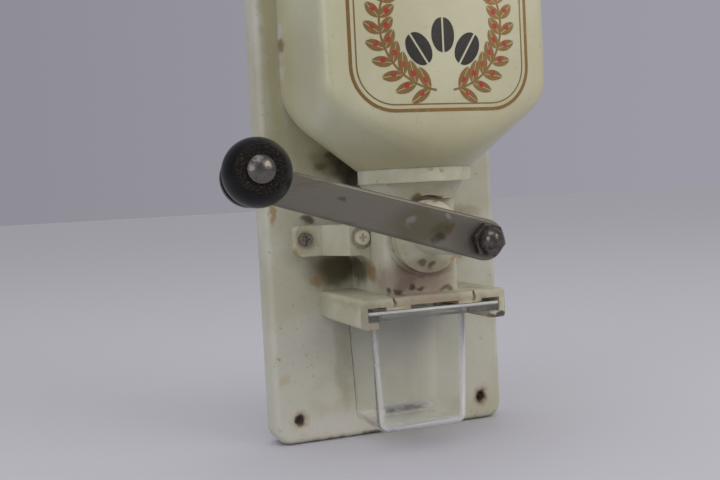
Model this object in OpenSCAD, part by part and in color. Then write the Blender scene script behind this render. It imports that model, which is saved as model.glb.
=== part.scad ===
// Wall mounted coffee mill. A painted board carries a sheet metal hopper, a cast mill body with a
// conical burr set on a horizontal shaft, a hand crank, and a clear cup that slides in two rails.
// Sizes are in millimetres. The wall is the plane y = 0, the front is -Y and up is +Z.
// The origin is the middle of the four wall screw holes. "Out" is the distance in front of the board.

/* [Board] */
// Width of the wooden board
board_w = 125; // [118:1:150]
// Height of the board
board_h = 340; // [336:1:400]
// Thickness of the board
board_t = 16; // [14:0.5:22]
// Radius of the board's four corners
board_corner_r = 8; // [5:0.5:11]
// Radius of the round along the board's front edge
board_edge_r = 3; // [1:0.5:4]
// Diameter of the wall screw holes
wall_hole_d = 4.5; // [3.5:0.1:5.4]
// Diameter of the countersink of the wall screw holes
wall_sink_d = 6; // [5.6:0.1:9]
// Distance of the wall screw holes from the board's edges
wall_hole_edge = 12; // [9:0.5:15]

/* [Hopper] */
// Width of the hopper at the board
hopper_w = 102; // [96:1:106]
// Slant of the sides, which widens the hopper towards its front, in degrees
hopper_flare = 2.5; // [1.5:0.5:4.5]
// Distance of the hopper's bowed front from the board
hopper_d = 78; // [74:1:84]
// Height of the hopper above the mill's flange
hopper_h = 156; // [140:1:160]
// Radius of the bow of the front
hopper_bow_r = 324; // [280:1:500]
// Radius of the upright front corners
hopper_corner_r = 5; // [4:0.5:8]
// Thickness of the hopper's sheet
hopper_wall = 1.2; // [1:0.1:2]
// Growth of the funnel's radius for each millimetre of its height
funnel_spread = 1.2; // [1.1:0.05:1.4]
// Height of the two board screws above the middle of the hopper
hopper_screw_rise = 40; // [30:1:50]
// Distance between the two board screws
hopper_screw_span = 50; // [40:1:60]

/* [Lid] */
// Thickness of the lid's sheet
lid_t = 1.2; // [1:0.1:2]
// Clearance between the lid's skirt and the hopper
lid_gap = 0.9; // [0.7:0.1:1.2]
// Depth of the lid's skirt
lid_skirt = 10; // [6:0.5:14]
// Distance of the lid's raised panel from the hopper's edges
panel_inset = 9; // [6:0.5:14]
// Radius of the panel's corners
panel_corner_r = 7; // [4:0.5:12]
// Height of the raised panel
panel_rise = 2; // [1.5:0.1:3]
// Width of the finger tab
tab_w = 26; // [20:1:34]
// Reach of the finger tab
tab_reach = 7; // [5:0.5:10]

/* [Lid hinge] */
// Width of the hinge
hinge_w = 34; // [30:1:44]
// Diameter of the hinge pin
pin_d = 2; // [1.6:0.1:2.4]
// Wall of the hinge knuckles round the pin
knuckle_wall = 1; // [0.8:0.1:1.4]
// Thickness of the hinge leaves
leaf_t = 1; // [0.8:0.1:1.4]
// Length of the hinge leaves
leaf_l = 14; // [12:0.5:18]

/* [Mill body] */
// Distance of the shaft below the middle of the board
shaft_drop = 68; // [64:1:70]
// Height of the flange's top above the shaft
throat_rise = 31.5; // [30:0.5:36]
// Distance of the hopper's neck in front of the board
neck_out = 40; // [39:0.5:41]
// Radius of the flange under the hopper's funnel
flange_r = 26.5; // [25:0.5:29]
// Thickness of the flange
flange_t = 6.5; // [5:0.5:8]
// Width of the body's column
column_w = 37; // [36:0.5:42]
// Radius of the column's front corners
column_corner_r = 5; // [2:0.5:8]
// Depth of the foot plate's top below the shaft
foot_drop = 26.5; // [26:0.5:30]
// Thickness of the foot plate
foot_t = 4; // [3:0.5:5]
// Width of the foot plate
foot_w = 40; // [38:0.5:43]
// Distance that the foot plate reaches in front of the board
foot_out = 57; // [54:0.5:62]

/* [Wings] */
// Width of a wing beyond the head of its outer screw
wing_edge = 0.5; // [0.5:0.1:3]
// Width of the flat land inside the head of an outer screw
pad_land = 5; // [3:0.5:7]
// Height of a wing
wing_h = 15; // [13.5:0.5:17]
// Distance of the wings' middle below the shaft
wing_drop = 0.9; // [0:0.1:1.5]
// Radius of the corners of a wing's end
wing_end_r = 3; // [2:0.5:5]
// Thickness of a wing at its end
wing_t = 9; // [7:0.5:12]
// Distance from the board of the wings' raised part, which holds the inner screws
wing_rise = 26.6; // [26:0.2:30]
// Radius under the wings, where they run down into the column
wing_fillet_r = 6; // [4:0.5:9]
// Distance between the two outer wing screws
outer_screw_span = 91; // [86:1:91]
// Distance between the two inner screws
inner_screw_span = 45; // [44:0.5:50]
// Diameter of the seat of an inner screw
recess_d = 10.8; // [9.5:0.1:11.4]
// Width of the raised part beyond that seat
recess_lip = 0.8; // [0.5:0.1:1.5]
// Distance of the floor of that seat from the board
recess_out = 25.5; // [23:0.5:25.5]

/* [Screws] */
// Diameter of the head of a board screw
screw_head_d = 7; // [6:0.1:8]
// Height of the head of a board screw
screw_head_h = 2.2; // [1.6:0.1:3]
// Diameter of the shank of a board screw
screw_d = 3.6; // [3:0.1:4]
// Depth of a board screw in the wood
screw_bite = 11; // [8:0.5:12]
// Diameter of a small screw's head
small_head_d = 5; // [4.4:0.1:5.4]
// Height of a small screw's head
small_head_h = 1.3; // [1:0.1:1.5]
// Diameter of a small screw's shank
small_d = 2.8; // [2.4:0.1:3]
// Room below the tip of a small screw
tip_room = 3; // [2:0.5:4]
// Length of the screw that locks the outer burr
burr_screw_l = 6; // [5:0.5:7]

/* [Grinding gear] */
// Diameter of the shaft
shaft_d = 9; // [8.6:0.1:9.4]
// Diameter of the shaft's rear journal
journal_d = 7; // [6:0.1:7.6]
// Running clearance round the shaft, on the radius
run_gap = 0.04; // [0.02:0.01:0.08]
// Clearance of pieces that are pushed together, on the radius
fit_gap = 0.02; // [0.01:0.01:0.03]
// Thickness of the rear bearing plate
rear_plate_t = 3; // [2.5:0.5:4]
// Depth of a rear plate's screw in the casting
rear_screw_bite = 6; // [5:0.5:8]
// Width of the rear bearing plate
rear_plate_w = 33.4; // [32:0.2:33.6]
// Distance between the rear plate's screws, in both directions
rear_screw_span = 27; // [26.6:0.1:27.4]
// Length of the rear bush
rear_bush_l = 5; // [4.5:0.5:6.5]
// Wall of the bushes
bush_wall = 1.1; // [0.9:0.1:1.4]
// Room behind the burrs, where the grounds fall out
exit_gap = 6; // [5:0.5:8]
// Length of the burrs
burr_l = 12; // [10:0.5:14]
// Outer radius of the outer burr
outer_burr_r = 14.5; // [14:0.1:14.8]
// Radius of the inner burr at its wide rear end
burr_wide_r = 12.2; // [11.6:0.1:12.4]
// Radius of the inner burr at its narrow front end
burr_narrow_r = 8.4; // [7.8:0.1:9]
// Grinding gap between the two burrs, on the radius
burr_gap = 0.6; // [0.5:0.1:0.8]
// Number of teeth on the inner burr
inner_teeth = 14; // [10:1:16]
// Number of teeth on the outer burr
outer_teeth = 16; // [12:1:18]
// Depth of the grooves between the teeth
tooth_depth = 1.1; // [0.8:0.1:1.3]
// Slant of the grooves
tooth_slant = 20; // [10:1:26]
// Radius of the feed chamber in front of the burrs
feed_r = 12.5; // [12.2:0.1:13]
// Length of the feed chamber
feed_l = 20; // [18:0.5:23]
// Length of the feed worm
worm_l = 16; // [13:0.5:17]
// Turn of the feed worm over its length, in degrees
worm_turn = 320; // [200:10:400]
// Diameter of the drive pins
drive_pin_d = 2.4; // [2:0.1:2.8]
// Radius of the feed opening at the flange
throat_r = 15; // [13:0.5:16]
// Radius of the feed opening at the feed chamber
throat_low_r = 9.5; // [8:0.5:9.8]
// Width of the chute that leads down to the cup
chute_w = 18; // [14:0.5:19]

/* [Front cap] */
// Length of the cap's spigot in the body
spigot_l = 6; // [4:0.5:8]
// Radius of the cap's rear ring
cap_ring_r = 18.4; // [17.6:0.1:18.5]
// Thickness of the rear ring
cap_ring_t = 2.5; // [2:0.5:4]
// Radius of the cap's drum
cap_drum_r = 16.8; // [15:0.1:17.4]
// Depth of the drum
cap_drum_t = 4.5; // [3:0.5:6]
// Rise of the drum's domed front
cap_dome = 3; // [2:0.5:4]
// Distance from the drum's rim to the end of the nose
nose_l = 38; // [34:0.5:40]
// Radius of the nose at its end
nose_r = 7.2; // [7:0.1:8]
// Radius of the nose at the drum
nose_root_r = 8.4; // [8.2:0.1:10]
// Length of the front bush
front_bush_l = 24; // [18:0.5:30]
// Thickness of the thrust washer
thrust_t = 1; // [0.8:0.1:1.6]

/* [Crank] */
// Radius of the adjusting nut
adjust_r = 7.5; // [7:0.1:8.5]
// Length of the adjusting nut
adjust_l = 7; // [5:0.5:9]
// Number of grip notches round the adjusting nut
adjust_notches = 18; // [12:1:24]
// Distance between the adjusting nut and the crank arm
arm_gap = 6; // [4:0.5:8]
// Distance from the shaft to the knob
crank_l = 102.4; // [95:0.1:112]
// Rise of the arm from level, in degrees
crank_rise = 16.5; // [0:0.1:45]
// Thickness of the arm
arm_t = 4; // [3:0.5:5]
// Width of the arm at the shaft
arm_hub_w = 17; // [16:0.5:18]
// Width of the arm at the knob
arm_tip_w = 14; // [12:0.5:16]
// Radius of the arm's rounded edges
arm_edge_r = 1.2; // [0.6:0.1:1.4]
// Diameter of the shaft's threaded end
thread_d = 8; // [7.4:0.1:8.4]
// Distance across the two flats on that end
flat_w = 6.5; // [6:0.1:7]
// Distance across the flats of the dome nut
nut_af = 13.4; // [12.6:0.1:14]
// Height of the dome nut's hexagon
nut_hex_h = 5.5; // [4.5:0.1:7]
// Radius of the dome nut's dome
nut_dome_r = 5.8; // [5.6:0.1:6.2]

/* [Knob] */
// Upward lean of the knob's bent spindle, in degrees
knob_lean = 5.5; // [0:0.5:8]
// Lean of the spindle away from the shaft, in degrees
knob_sway = 5; // [0:0.5:8]
// Diameter of the knob's spindle
spindle_d = 6; // [5.4:0.1:6.4]
// Radius of the knob's foot
knob_foot_r = 11; // [10:0.1:11.6]
// Height of the knob's foot
knob_foot_h = 3; // [2.4:0.1:4]
// Radius of the knob's neck
knob_neck_r = 6.5; // [5.8:0.1:7.4]
// Radius of the knob's ball
knob_ball_r = 12.65; // [12:0.05:14]
// Distance of the ball's middle from the knob's foot
knob_ball_out = 18; // [16.5:0.1:20]
// Length of the knob
knob_l = 27.2; // [26:0.1:28]
// Radius of the spindle's domed head
spindle_head_r = 5; // [4.5:0.1:6]

/* [Rails] */
// Width over the two rails
rail_span = 72; // [69:0.5:78]
// Thickness of a rail's outer wall
rail_wall = 3; // [2.5:0.5:4]
// Height of the channel in a rail
channel_h = 6.5; // [6:0.5:8]
// Thickness of a rail's lower lip
lip_t = 3; // [2:0.5:4]
// Reach of the lower lip, from the rail's outer face
lip_reach = 8; // [7:0.5:9]
// Radius of a rail's outer edges
rail_edge_r = 1.8; // [1:0.1:2]
// Thickness of the tab that holds a rail under the foot plate
rail_tab_t = 1.6; // [1.2:0.1:1.8]
// Reach of that tab under the foot plate
rail_tab_reach = 8; // [7:0.5:9]

/* [Cup] */
// Width of the cup under its rim
cup_w = 49; // [46:0.5:50]
// Width of the cup at its bottom
cup_bottom_w = 46; // [42:0.5:48]
// Depth of the cup from back to front
cup_d = 40; // [36:0.5:41]
// Height of the cup
cup_h = 58.5; // [50:0.5:60]
// Wall of the cup
cup_wall = 2; // [1.6:0.1:2.4]
// Radius of the cup's lower edges
cup_edge_r = 5; // [4:0.5:7]
// Thickness of the cup's rim
rim_t = 2.4; // [2:0.1:3]
// Distance that the rim reaches in front of the cup
rim_grip = 14.5; // [12:0.5:14.5]
// Height of the strip along the rim's front
rim_strip_h = 4.2; // [3:0.1:4.4]
// Clearance between the rim and the rails
slide_gap = 0.3; // [0.2:0.05:0.5]
// Distance of the cup's back from the board
cup_out = 2; // [1.5:0.1:4]

/* [Hidden] */
$fn = 64;
cut = 1;

cream = [0.80, 0.77, 0.66];
casting = [0.78, 0.76, 0.70];
steel = [0.52, 0.51, 0.50];
bronze = [0.68, 0.50, 0.28];
rusty = [0.45, 0.28, 0.15];

shaft_z = -shaft_drop;
shaft_r = shaft_d / 2;
flange_z = shaft_z + throat_rise;
rim_z = flange_z + hopper_h;
foot_z = shaft_z - foot_drop;

// Stations along the shaft, as distances in front of the board
burr_0 = rear_plate_t + exit_gap;
burr_1 = burr_0 + burr_l;
spigot_0 = burr_1 + feed_l;
column_d = spigot_0 + spigot_l;
drum_0 = column_d + cap_ring_t;
drum_1 = drum_0 + cap_drum_t;
nose_1 = drum_1 + nose_l;
adjust_0 = nose_1 + thrust_t + run_gap;
adjust_1 = adjust_0 + adjust_l;
arm_0 = adjust_1 + arm_gap;
arm_1 = arm_0 + arm_t;
nut_end = arm_1 + nut_hex_h + nut_dome_r;
feed_out = burr_1 + feed_l / 2;

// The bow of the hopper's front, and the corners that meet it and the sides at a shallow fold
bow_out = hopper_d - hopper_bow_r;
corner_span = hopper_bow_r - hopper_corner_r;
side_way = [sin(hopper_flare), cos(hopper_flare)];
side_face = [cos(hopper_flare), -sin(hopper_flare)];
side_start = [hopper_w / 2, 0] - hopper_corner_r * side_face;
side_drift = (side_start - [0, bow_out]) * side_way;
side_rest = norm(side_start - [0, bow_out]);
side_l = sqrt(side_drift * side_drift - side_rest * side_rest + corner_span * corner_span) - side_drift;
corner_fold = 0.04;
corner_x = (side_start + side_l * side_way)[0];
corner_out = (side_start + side_l * side_way)[1] + corner_fold;
neck_r = flange_r + 0.6;
// How much a funnel's radius shrinks for each millimetre of its wall
funnel_wall = norm([1, funnel_spread]);
floor_screw_r = flange_r - small_head_d / 2 - 2.2;

lid_seat = 0.2;
lid_top = rim_z + lid_seat + lid_t;
knuckle_r = pin_d / 2 + knuckle_wall;
pin_z = lid_top + knuckle_r + 0.3;
pin_out = knuckle_r + 1.4;
lid_back = pin_out - 0.6;
knuckle_gap = 0.3;
drill_past = 12;

wing_r = wing_h / 2;
column_top = shaft_z + column_w / 2;
column_top_r = 4;
outer_x = outer_screw_span / 2;
wing_span = outer_screw_span + screw_head_d + 2 * wing_edge;
inner_x = inner_screw_span / 2;

crank_tip = [-crank_l * cos(crank_rise), crank_l * sin(crank_rise)];
knob_tilt = acos(cos(knob_lean) * cos(knob_sway));
knob_start = (knob_foot_r + 0.4) * sin(knob_tilt) + 0.35;
knob_end = knob_start + knob_l;

foot_low = foot_z - foot_t;
lip_z = foot_low - channel_h;
rim_low = lip_z + slide_gap;
rim_w = rail_span - 2 * rail_wall - 2 * slide_gap;
cup_low = rim_low + rim_t - cup_h;

// Distance in front of the board to the y coordinate
function out_y(out) = -board_t - out;

// A cylinder along the shaft, between two stations
module bar(out_0, out_1, r_0, r_1 = 0) {
  translate([0, out_y(out_0), shaft_z])
    rotate([90, 0, 0])
      cylinder(r1 = r_0, r2 = r_1 > 0 ? r_1 : r_0, h = out_1 - out_0);
}

// A cylinder that runs straight out from the board at x and z
module peg(x, z, out_0, out_1, r) {
  translate([x, out_y(out_0), z])
    rotate([90, 0, 0])
      cylinder(r = r, h = out_1 - out_0);
}

// Raises a plan, drawn as x and distance in front of the board
module raise(z_0, z_1) {
  translate([0, -board_t, z_0])
    mirror([0, 1, 0])
      linear_extrude(height = z_1 - z_0)
        children();
}

// Pushes a front view, drawn as x and height, out from the board
module push_out(out_0, out_1) {
  translate([0, out_y(out_0), 0])
    rotate([90, 0, 0])
      linear_extrude(height = out_1 - out_0)
        children();
}

// A board screw whose head sits at a distance in front of the board
module board_screw(x, z, seat) {
  difference() {
    union() {
      peg(x, z, seat, seat + screw_head_h, screw_head_d / 2);
      peg(x, z, -screw_bite, seat + screw_head_h / 2, screw_d / 2);
    }
    for (turn = [0, 90])
      translate([x, out_y(seat + screw_head_h), z])
        rotate([0, turn, 0])
          cube([screw_head_d * 0.5, screw_head_h, 0.9], center = true);
  }
}

// The hole of a board screw, from a station down to its end in the wood
module screw_hole(x, z, out) {
  peg(x, z, -screw_bite - 0.5, out, screw_d / 2 + fit_gap);
}

// A small upright screw, head at z = 0, its shank along -Z
module small_screw(shank) {
  difference() {
    union() {
      cylinder(d = small_head_d, h = small_head_h);
      translate([0, 0, -shank])
        cylinder(d = small_d, h = shank + small_head_h / 2);
    }
    translate([0, 0, small_head_h])
      cube([small_head_d + cut, 0.8, small_head_h], center = true);
  }
}

module rounded_rect(w, h, r) {
  square([w - 2 * r, h], center = true);
  square([w, h - 2 * r], center = true);
  for (x = [-1, 1], y = [-1, 1])
    translate([x * (w / 2 - r), y * (h / 2 - r)])
      circle(r = r);
}

// Section of the board's edge, from the corners' centre line outward, with a round front
module edge_section() {
  square([board_corner_r - board_edge_r, board_t]);
  square([board_corner_r, board_t - board_edge_r]);
  translate([board_corner_r - board_edge_r, board_t - board_edge_r])
    circle(r = board_edge_r);
}

// The board: a slab with round corners, a rolled front edge and its screw holes
module back_board() {
  mid_x = board_w / 2 - board_corner_r;
  mid_z = board_h / 2 - board_corner_r;
  color(cream)
    difference() {
      union() {
        push_out(-board_t, 0)
          square([2 * mid_x, 2 * mid_z], center = true);
        for (x = [0, 1])
          mirror([x, 0, 0])
            translate([mid_x, 0, -mid_z])
              mirror([0, 1, 0])
                linear_extrude(height = 2 * mid_z)
                  edge_section();
        for (z = [0, 1])
          mirror([0, 0, z])
            translate([-mid_x, 0, mid_z])
              rotate([90, 0, 90])
                linear_extrude(height = 2 * mid_x)
                  rotate([0, 0, 90])
                    edge_section();
        for (x = [0, 1], z = [0, 1])
          mirror([x, 0, 0])
            mirror([0, 0, z])
              translate([mid_x, 0, mid_z])
                rotate([90, 0, 0])
                  rotate_extrude(angle = 90)
                    edge_section();
      }
      for (x = [-1, 1], z = [-1, 1])
        translate([x * (board_w / 2 - wall_hole_edge), 0, z * (board_h / 2 - wall_hole_edge)])
          rotate([90, 0, 0]) {
            translate([0, 0, -cut])
              cylinder(d = wall_hole_d, h = board_t + 2 * cut);
            translate([0, 0, board_t - (wall_sink_d - wall_hole_d) / 2])
              cylinder(d1 = wall_hole_d, d2 = wall_sink_d, h = (wall_sink_d - wall_hole_d) / 2);
          }
      for (x = [-1, 1]) {
        screw_hole(x * outer_x, shaft_z, cut);
        screw_hole(x * inner_x, shaft_z, cut);
        screw_hole(x * hopper_screw_span / 2, hopper_screw_z(), cut);
        leaf_screw_hole(x);
      }
    }
}

function hopper_screw_z() = flange_z + hopper_h / 2 + hopper_screw_rise;

// Plan of the hopper: flat back, slanted sides, corners that run into the bowed front
module hopper_plan(inset) {
  bow = hopper_bow_r - inset;
  back_x = hopper_w / 2 + inset * (tan(hopper_flare) - 1 / cos(hopper_flare));
  round_x = corner_x * bow / corner_span;
  side = [corner_x, corner_out] + (hopper_corner_r - inset - corner_fold) * side_face;
  intersection() {
    translate([0, bow_out])
      circle(r = bow, $fn = 360);
    union() {
      polygon([
        [-back_x, inset], [back_x, inset], side, [corner_x, corner_out],
        [-corner_x, corner_out], [-side[0], side[1]]
      ]);
      translate([-round_x, corner_out - 1])
        square([2 * round_x, hopper_d]);
      for (x = [-1, 1])
        translate([x * corner_x, corner_out])
          circle(r = hopper_corner_r - inset);
    }
  }
}

// The hopper's form: an upright box on a funnel, drawn in by an inset and cut between two heights
module hopper_form(inset, z_0, z_1) {
  low_r = neck_r - inset * funnel_wall;
  high = hopper_h + 2 * cut;
  intersection() {
    raise(z_0, z_1)
      hopper_plan(inset);
    translate([0, out_y(neck_out), flange_z])
      cylinder(r1 = low_r, r2 = low_r + funnel_spread * high, h = high);
  }
}

// The hopper: a folded shell that runs into a funnel and is closed by a ring floor
module hopper_shell() {
  color(cream)
    difference() {
      hopper_form(0, flange_z, rim_z);
      hopper_form(hopper_wall, flange_z + hopper_wall, rim_z + cut);
      translate([0, out_y(feed_out), flange_z - cut])
        cylinder(r = throat_r, h = hopper_wall + 2 * cut);
      for (x = [-1, 1])
        peg(x * hopper_screw_span / 2, hopper_screw_z(), -cut, hopper_wall + cut, screw_d / 2 + fit_gap);
      floor_screw_places(flange_z - cut)
        cylinder(d = small_d + 2 * fit_gap, h = hopper_wall + 2 * cut);
    }
}

// The three places on the flange where the hopper's floor is screwed down
module floor_screw_places(z) {
  for (turn = [30, 150, 270])
    translate([floor_screw_r * cos(turn), out_y(neck_out) + floor_screw_r * sin(turn), z])
      children();
}

module hopper_board_screws() {
  color(rusty)
    for (x = [-1, 1])
      board_screw(x * hopper_screw_span / 2, hopper_screw_z(), hopper_wall);
}

module hopper_floor_screws() {
  color(steel)
    floor_screw_places(flange_z + hopper_wall)
      small_screw(hopper_wall + flange_t - 1.5);
}

// The lid: a pressed cover with a skirt on three sides, a raised panel and a finger tab
module hopper_lid() {
  front = hopper_d + lid_gap + lid_t;
  color(cream)
    difference() {
      union() {
        raise(rim_z - lid_skirt, lid_top)
          hopper_plan(-lid_gap - lid_t);
        raise(lid_top - lid_t, lid_top + panel_rise)
          panel_plan(0);
        translate([-tab_w / 2, out_y(front + tab_reach), rim_z - lid_skirt])
          cube([tab_w, tab_reach + lid_t / 2, lid_t]);
      }
      raise(rim_z - lid_skirt - cut, lid_top - lid_t)
        hopper_plan(-lid_gap);
      raise(lid_top - lid_t - cut, lid_top + panel_rise - lid_t)
        panel_plan(lid_t);
      translate([-hopper_w, out_y(lid_back), rim_z - lid_skirt - cut])
        cube([2 * hopper_w, 4 * pin_out, lid_skirt + 4 * cut]);
      translate([-hopper_w, out_y(pin_out + knuckle_r), rim_z - lid_skirt - cut])
        cube([2 * hopper_w, 4 * pin_out, lid_skirt + cut]);
      rivet_places()
        cylinder(d = small_d + 2 * fit_gap, h = 4 * lid_t, center = true);
    }
}

// Plan of the lid's raised panel, in front of the hinge leaf
module panel_plan(inset) {
  back = pin_out + knuckle_r + leaf_l + 3;
  front = corner_out - panel_inset + hopper_corner_r;
  translate([0, (front + back) / 2])
    rounded_rect(hopper_w - 2 * panel_inset - 2 * inset, front - back - 2 * inset, panel_corner_r - inset);
}

// The two places where the lid's hinge leaf is riveted on
module rivet_places() {
  for (x = [-1, 1])
    translate([x * hinge_w / 4, out_y(pin_out + knuckle_r + leaf_l / 2 + 0.6), lid_top])
      children();
}

module lid_rivets() {
  color(steel)
    rivet_places() {
      translate([0, 0, leaf_t])
        cylinder(d1 = small_head_d - 1, d2 = small_d, h = 0.8);
      translate([0, 0, -lid_t])
        cylinder(d = small_d, h = lid_t + leaf_t + 0.4);
      translate([0, 0, -lid_t - 0.7])
        cylinder(d = small_head_d - 1, h = 0.7);
    }
}

// A row of hinge knuckle along the pin, from one x to another
module knuckle(x_0, x_1) {
  translate([x_0, out_y(pin_out), pin_z])
    rotate([0, 90, 0])
      cylinder(r = knuckle_r, h = x_1 - x_0);
}

module pin_bore(gap) {
  translate([-hinge_w, out_y(pin_out), pin_z])
    rotate([0, 90, 0])
      cylinder(d = pin_d + 2 * gap, h = 2 * hinge_w);
}

// The leaf on the lid, with the middle knuckle
module lid_hinge_leaf() {
  back = pin_out + knuckle_r + 0.6;
  mid = hinge_w / 6 - knuckle_gap;
  color(steel)
    difference() {
      union() {
        translate([-hinge_w / 2, out_y(back + leaf_l), lid_top])
          cube([hinge_w, leaf_l, leaf_t]);
        translate([-mid, out_y(back + 1), lid_top + 0.3])
          cube([2 * mid, back + 1 - pin_out, leaf_t - 0.3]);
        knuckle(-mid, mid);
      }
      pin_bore(run_gap);
      rivet_places()
        cylinder(d = small_d + 2 * fit_gap, h = 4 * leaf_t, center = true);
    }
}

// The leaf on the board, with the two outer knuckles
module board_hinge_leaf() {
  color(steel)
    difference() {
      union() {
        translate([-hinge_w / 2, out_y(leaf_t), pin_z])
          cube([hinge_w, leaf_t, leaf_l]);
        for (x = [-hinge_w / 2, hinge_w / 6]) {
          knuckle(x, x + hinge_w / 3);
          translate([x, out_y(pin_out), pin_z + knuckle_r - leaf_t])
            cube([hinge_w / 3, pin_out, leaf_t]);
        }
      }
      pin_bore(fit_gap);
      translate([knuckle_gap / 2 - hinge_w / 6, out_y(pin_out + knuckle_r), pin_z - knuckle_r])
        cube([hinge_w / 3 - knuckle_gap, pin_out + knuckle_r - leaf_t, 2 * knuckle_r]);
      for (x = [-1, 1])
        leaf_screw_hole(x);
    }
}

module leaf_screw_at(x) {
  translate([x * hinge_w / 3, out_y(0), pin_z + knuckle_r + (leaf_l - knuckle_r) / 2])
    rotate([90, 0, 0])
      children();
}

module leaf_screw_hole(x) {
  leaf_screw_at(x) {
    translate([0, 0, -screw_bite])
      cylinder(d = small_d + 2 * fit_gap, h = screw_bite + leaf_t + cut);
    translate([0, 0, leaf_t - 0.8])
      cylinder(d1 = small_d, d2 = small_d + 2, h = 1);
  }
}

module hinge_leaf_screws() {
  color(steel)
    for (x = [-1, 1])
      leaf_screw_at(x)
        difference() {
          union() {
            translate([0, 0, 0.5 - screw_bite])
              cylinder(d = small_d, h = screw_bite + leaf_t - 0.6);
            translate([0, 0, leaf_t - 0.7])
              cylinder(d1 = small_d - 0.1, d2 = small_d + 1.2, h = 0.7);
          }
          translate([0, 0, leaf_t])
            cube([small_head_d + 2, 0.7, 0.8], center = true);
        }
}

module hinge_pin() {
  color(steel)
    translate([-hinge_w / 2 - 0.5, out_y(pin_out), pin_z])
      rotate([0, 90, 0])
        cylinder(d = pin_d, h = hinge_w + 1);
}

// Front view of the column and the two wings that run down into it
module body_front() {
  low = shaft_z - wing_drop - wing_r;
  column_half = column_w / 2;
  translate([-column_half, foot_low])
    square([column_w, column_top - column_top_r - foot_low]);
  translate([column_top_r - column_half, foot_low])
    square([column_w - 2 * column_top_r, column_top - foot_low]);
  translate([0, shaft_z - wing_drop])
    rounded_rect(wing_span, wing_h, wing_end_r);
  for (x = [-1, 1]) {
    translate([x * (column_half - column_top_r), column_top - column_top_r])
      circle(r = column_top_r);
    difference() {
      translate([x * (column_half + wing_fillet_r / 2), low - wing_fillet_r / 2])
        square([wing_fillet_r, wing_fillet_r], center = true);
      translate([x * (column_half + wing_fillet_r), low - wing_fillet_r])
        circle(r = wing_fillet_r);
    }
  }
}

// Plan of the column, with round front corners, and of the wings with their pads and slants
module body_plan() {
  half = column_w / 2;
  span = wing_span / 2;
  pad = outer_x - screw_head_d / 2 - pad_land;
  raised = inner_x + recess_d / 2 + recess_lip;
  translate([-half, 0])
    square([column_w, column_d - column_corner_r]);
  translate([column_corner_r - half, 0])
    square([column_w - 2 * column_corner_r, column_d]);
  for (x = [-1, 1])
    translate([x * (half - column_corner_r), column_d - column_corner_r])
      circle(r = column_corner_r);
  polygon([
    [-span, 0], [-span, wing_t], [-pad, wing_t], [-raised, wing_rise],
    [raised, wing_rise], [pad, wing_t], [span, wing_t], [span, 0]
  ]);
}

// The neck that widens from the column to the flange
module neck() {
  low = column_top - 1.5;
  translate([0, out_y(neck_out - 4), low])
    cylinder(r1 = column_w / 2 + 1, r2 = flange_r - 2, h = flange_z - flange_t + 0.1 - low);
}

// The mill body: one casting with a flange, a column, two wings and a foot plate
module mill_body() {
  plate_half = rear_plate_w / 2 + fit_gap;
  throat_h = throat_rise - throat_low_r + 4;
  throat_spread = cut * (throat_r - throat_low_r) / throat_h;
  color(casting)
    difference() {
      union() {
        intersection() {
          push_out(0, column_d + cut)
            body_front();
          raise(foot_low, flange_z)
            body_plan();
        }
        translate([0, out_y(neck_out), flange_z - flange_t])
          cylinder(r = flange_r, h = flange_t);
        neck();
        translate([-foot_w / 2, out_y(foot_out), foot_low])
          cube([foot_w, foot_out, foot_t]);
      }
      // Burr chamber and feed chamber
      bar(-cut, burr_1, outer_burr_r + fit_gap);
      bar(burr_0, column_d + cut, feed_r + fit_gap);
      // Seat of the rear bearing plate
      translate([-plate_half, out_y(rear_plate_t), shaft_z - plate_half])
        cube([2 * plate_half, rear_plate_t + cut, 2 * plate_half]);
      rear_screw_places()
        cylinder(d = small_d + 2 * fit_gap, h = rear_plate_t + rear_screw_bite + tip_room);
      // Feed opening from the hopper and chute to the cup
      translate([0, out_y(feed_out), flange_z - throat_h])
        cylinder(r1 = throat_low_r, r2 = throat_r + throat_spread, h = throat_h + cut);
      translate([-chute_w / 2, out_y(burr_0), foot_low - cut])
        cube([chute_w, exit_gap, foot_drop + foot_t + cut]);
      translate([-chute_w / 2, out_y(burr_0), foot_low - cut])
        cube([chute_w, burr_0 + cut, shaft_z - plate_half - foot_low]);
      // Room over the front cap's ring
      bar(column_d, column_d + 2 * flange_r, cap_ring_r + 0.5);
      // Screws
      for (x = [-1, 1]) {
        screw_hole(x * outer_x, shaft_z, wing_t + cut);
        screw_hole(x * inner_x, shaft_z, wing_rise);
        peg(x * inner_x, shaft_z, recess_out, wing_rise + cut, recess_d / 2);
      }
      floor_screw_places(flange_z - flange_t - cut)
        cylinder(d = small_d + 2 * fit_gap, h = flange_t + 2 * cut);
      burr_screw_place()
        cylinder(d = small_d + 2 * fit_gap, h = column_w);
      rail_screw_places()
        translate([0, 0, -cut])
          cylinder(d = small_d + 2 * fit_gap, h = foot_t - 0.6 + cut);
    }
}

module outer_wing_screws() {
  color(rusty)
    for (x = [-1, 1])
      board_screw(x * outer_x, shaft_z, wing_t);
}

module inner_wing_screws() {
  color(casting)
    for (x = [-1, 1])
      board_screw(x * inner_x, shaft_z, recess_out);
}

// The four screw places of the rear plate, from the board side outward
module rear_screw_places() {
  for (x = [-1, 1], z = [-1, 1])
    translate([x * rear_screw_span / 2, out_y(0), shaft_z + z * rear_screw_span / 2])
      rotate([90, 0, 0])
        children();
}

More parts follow.
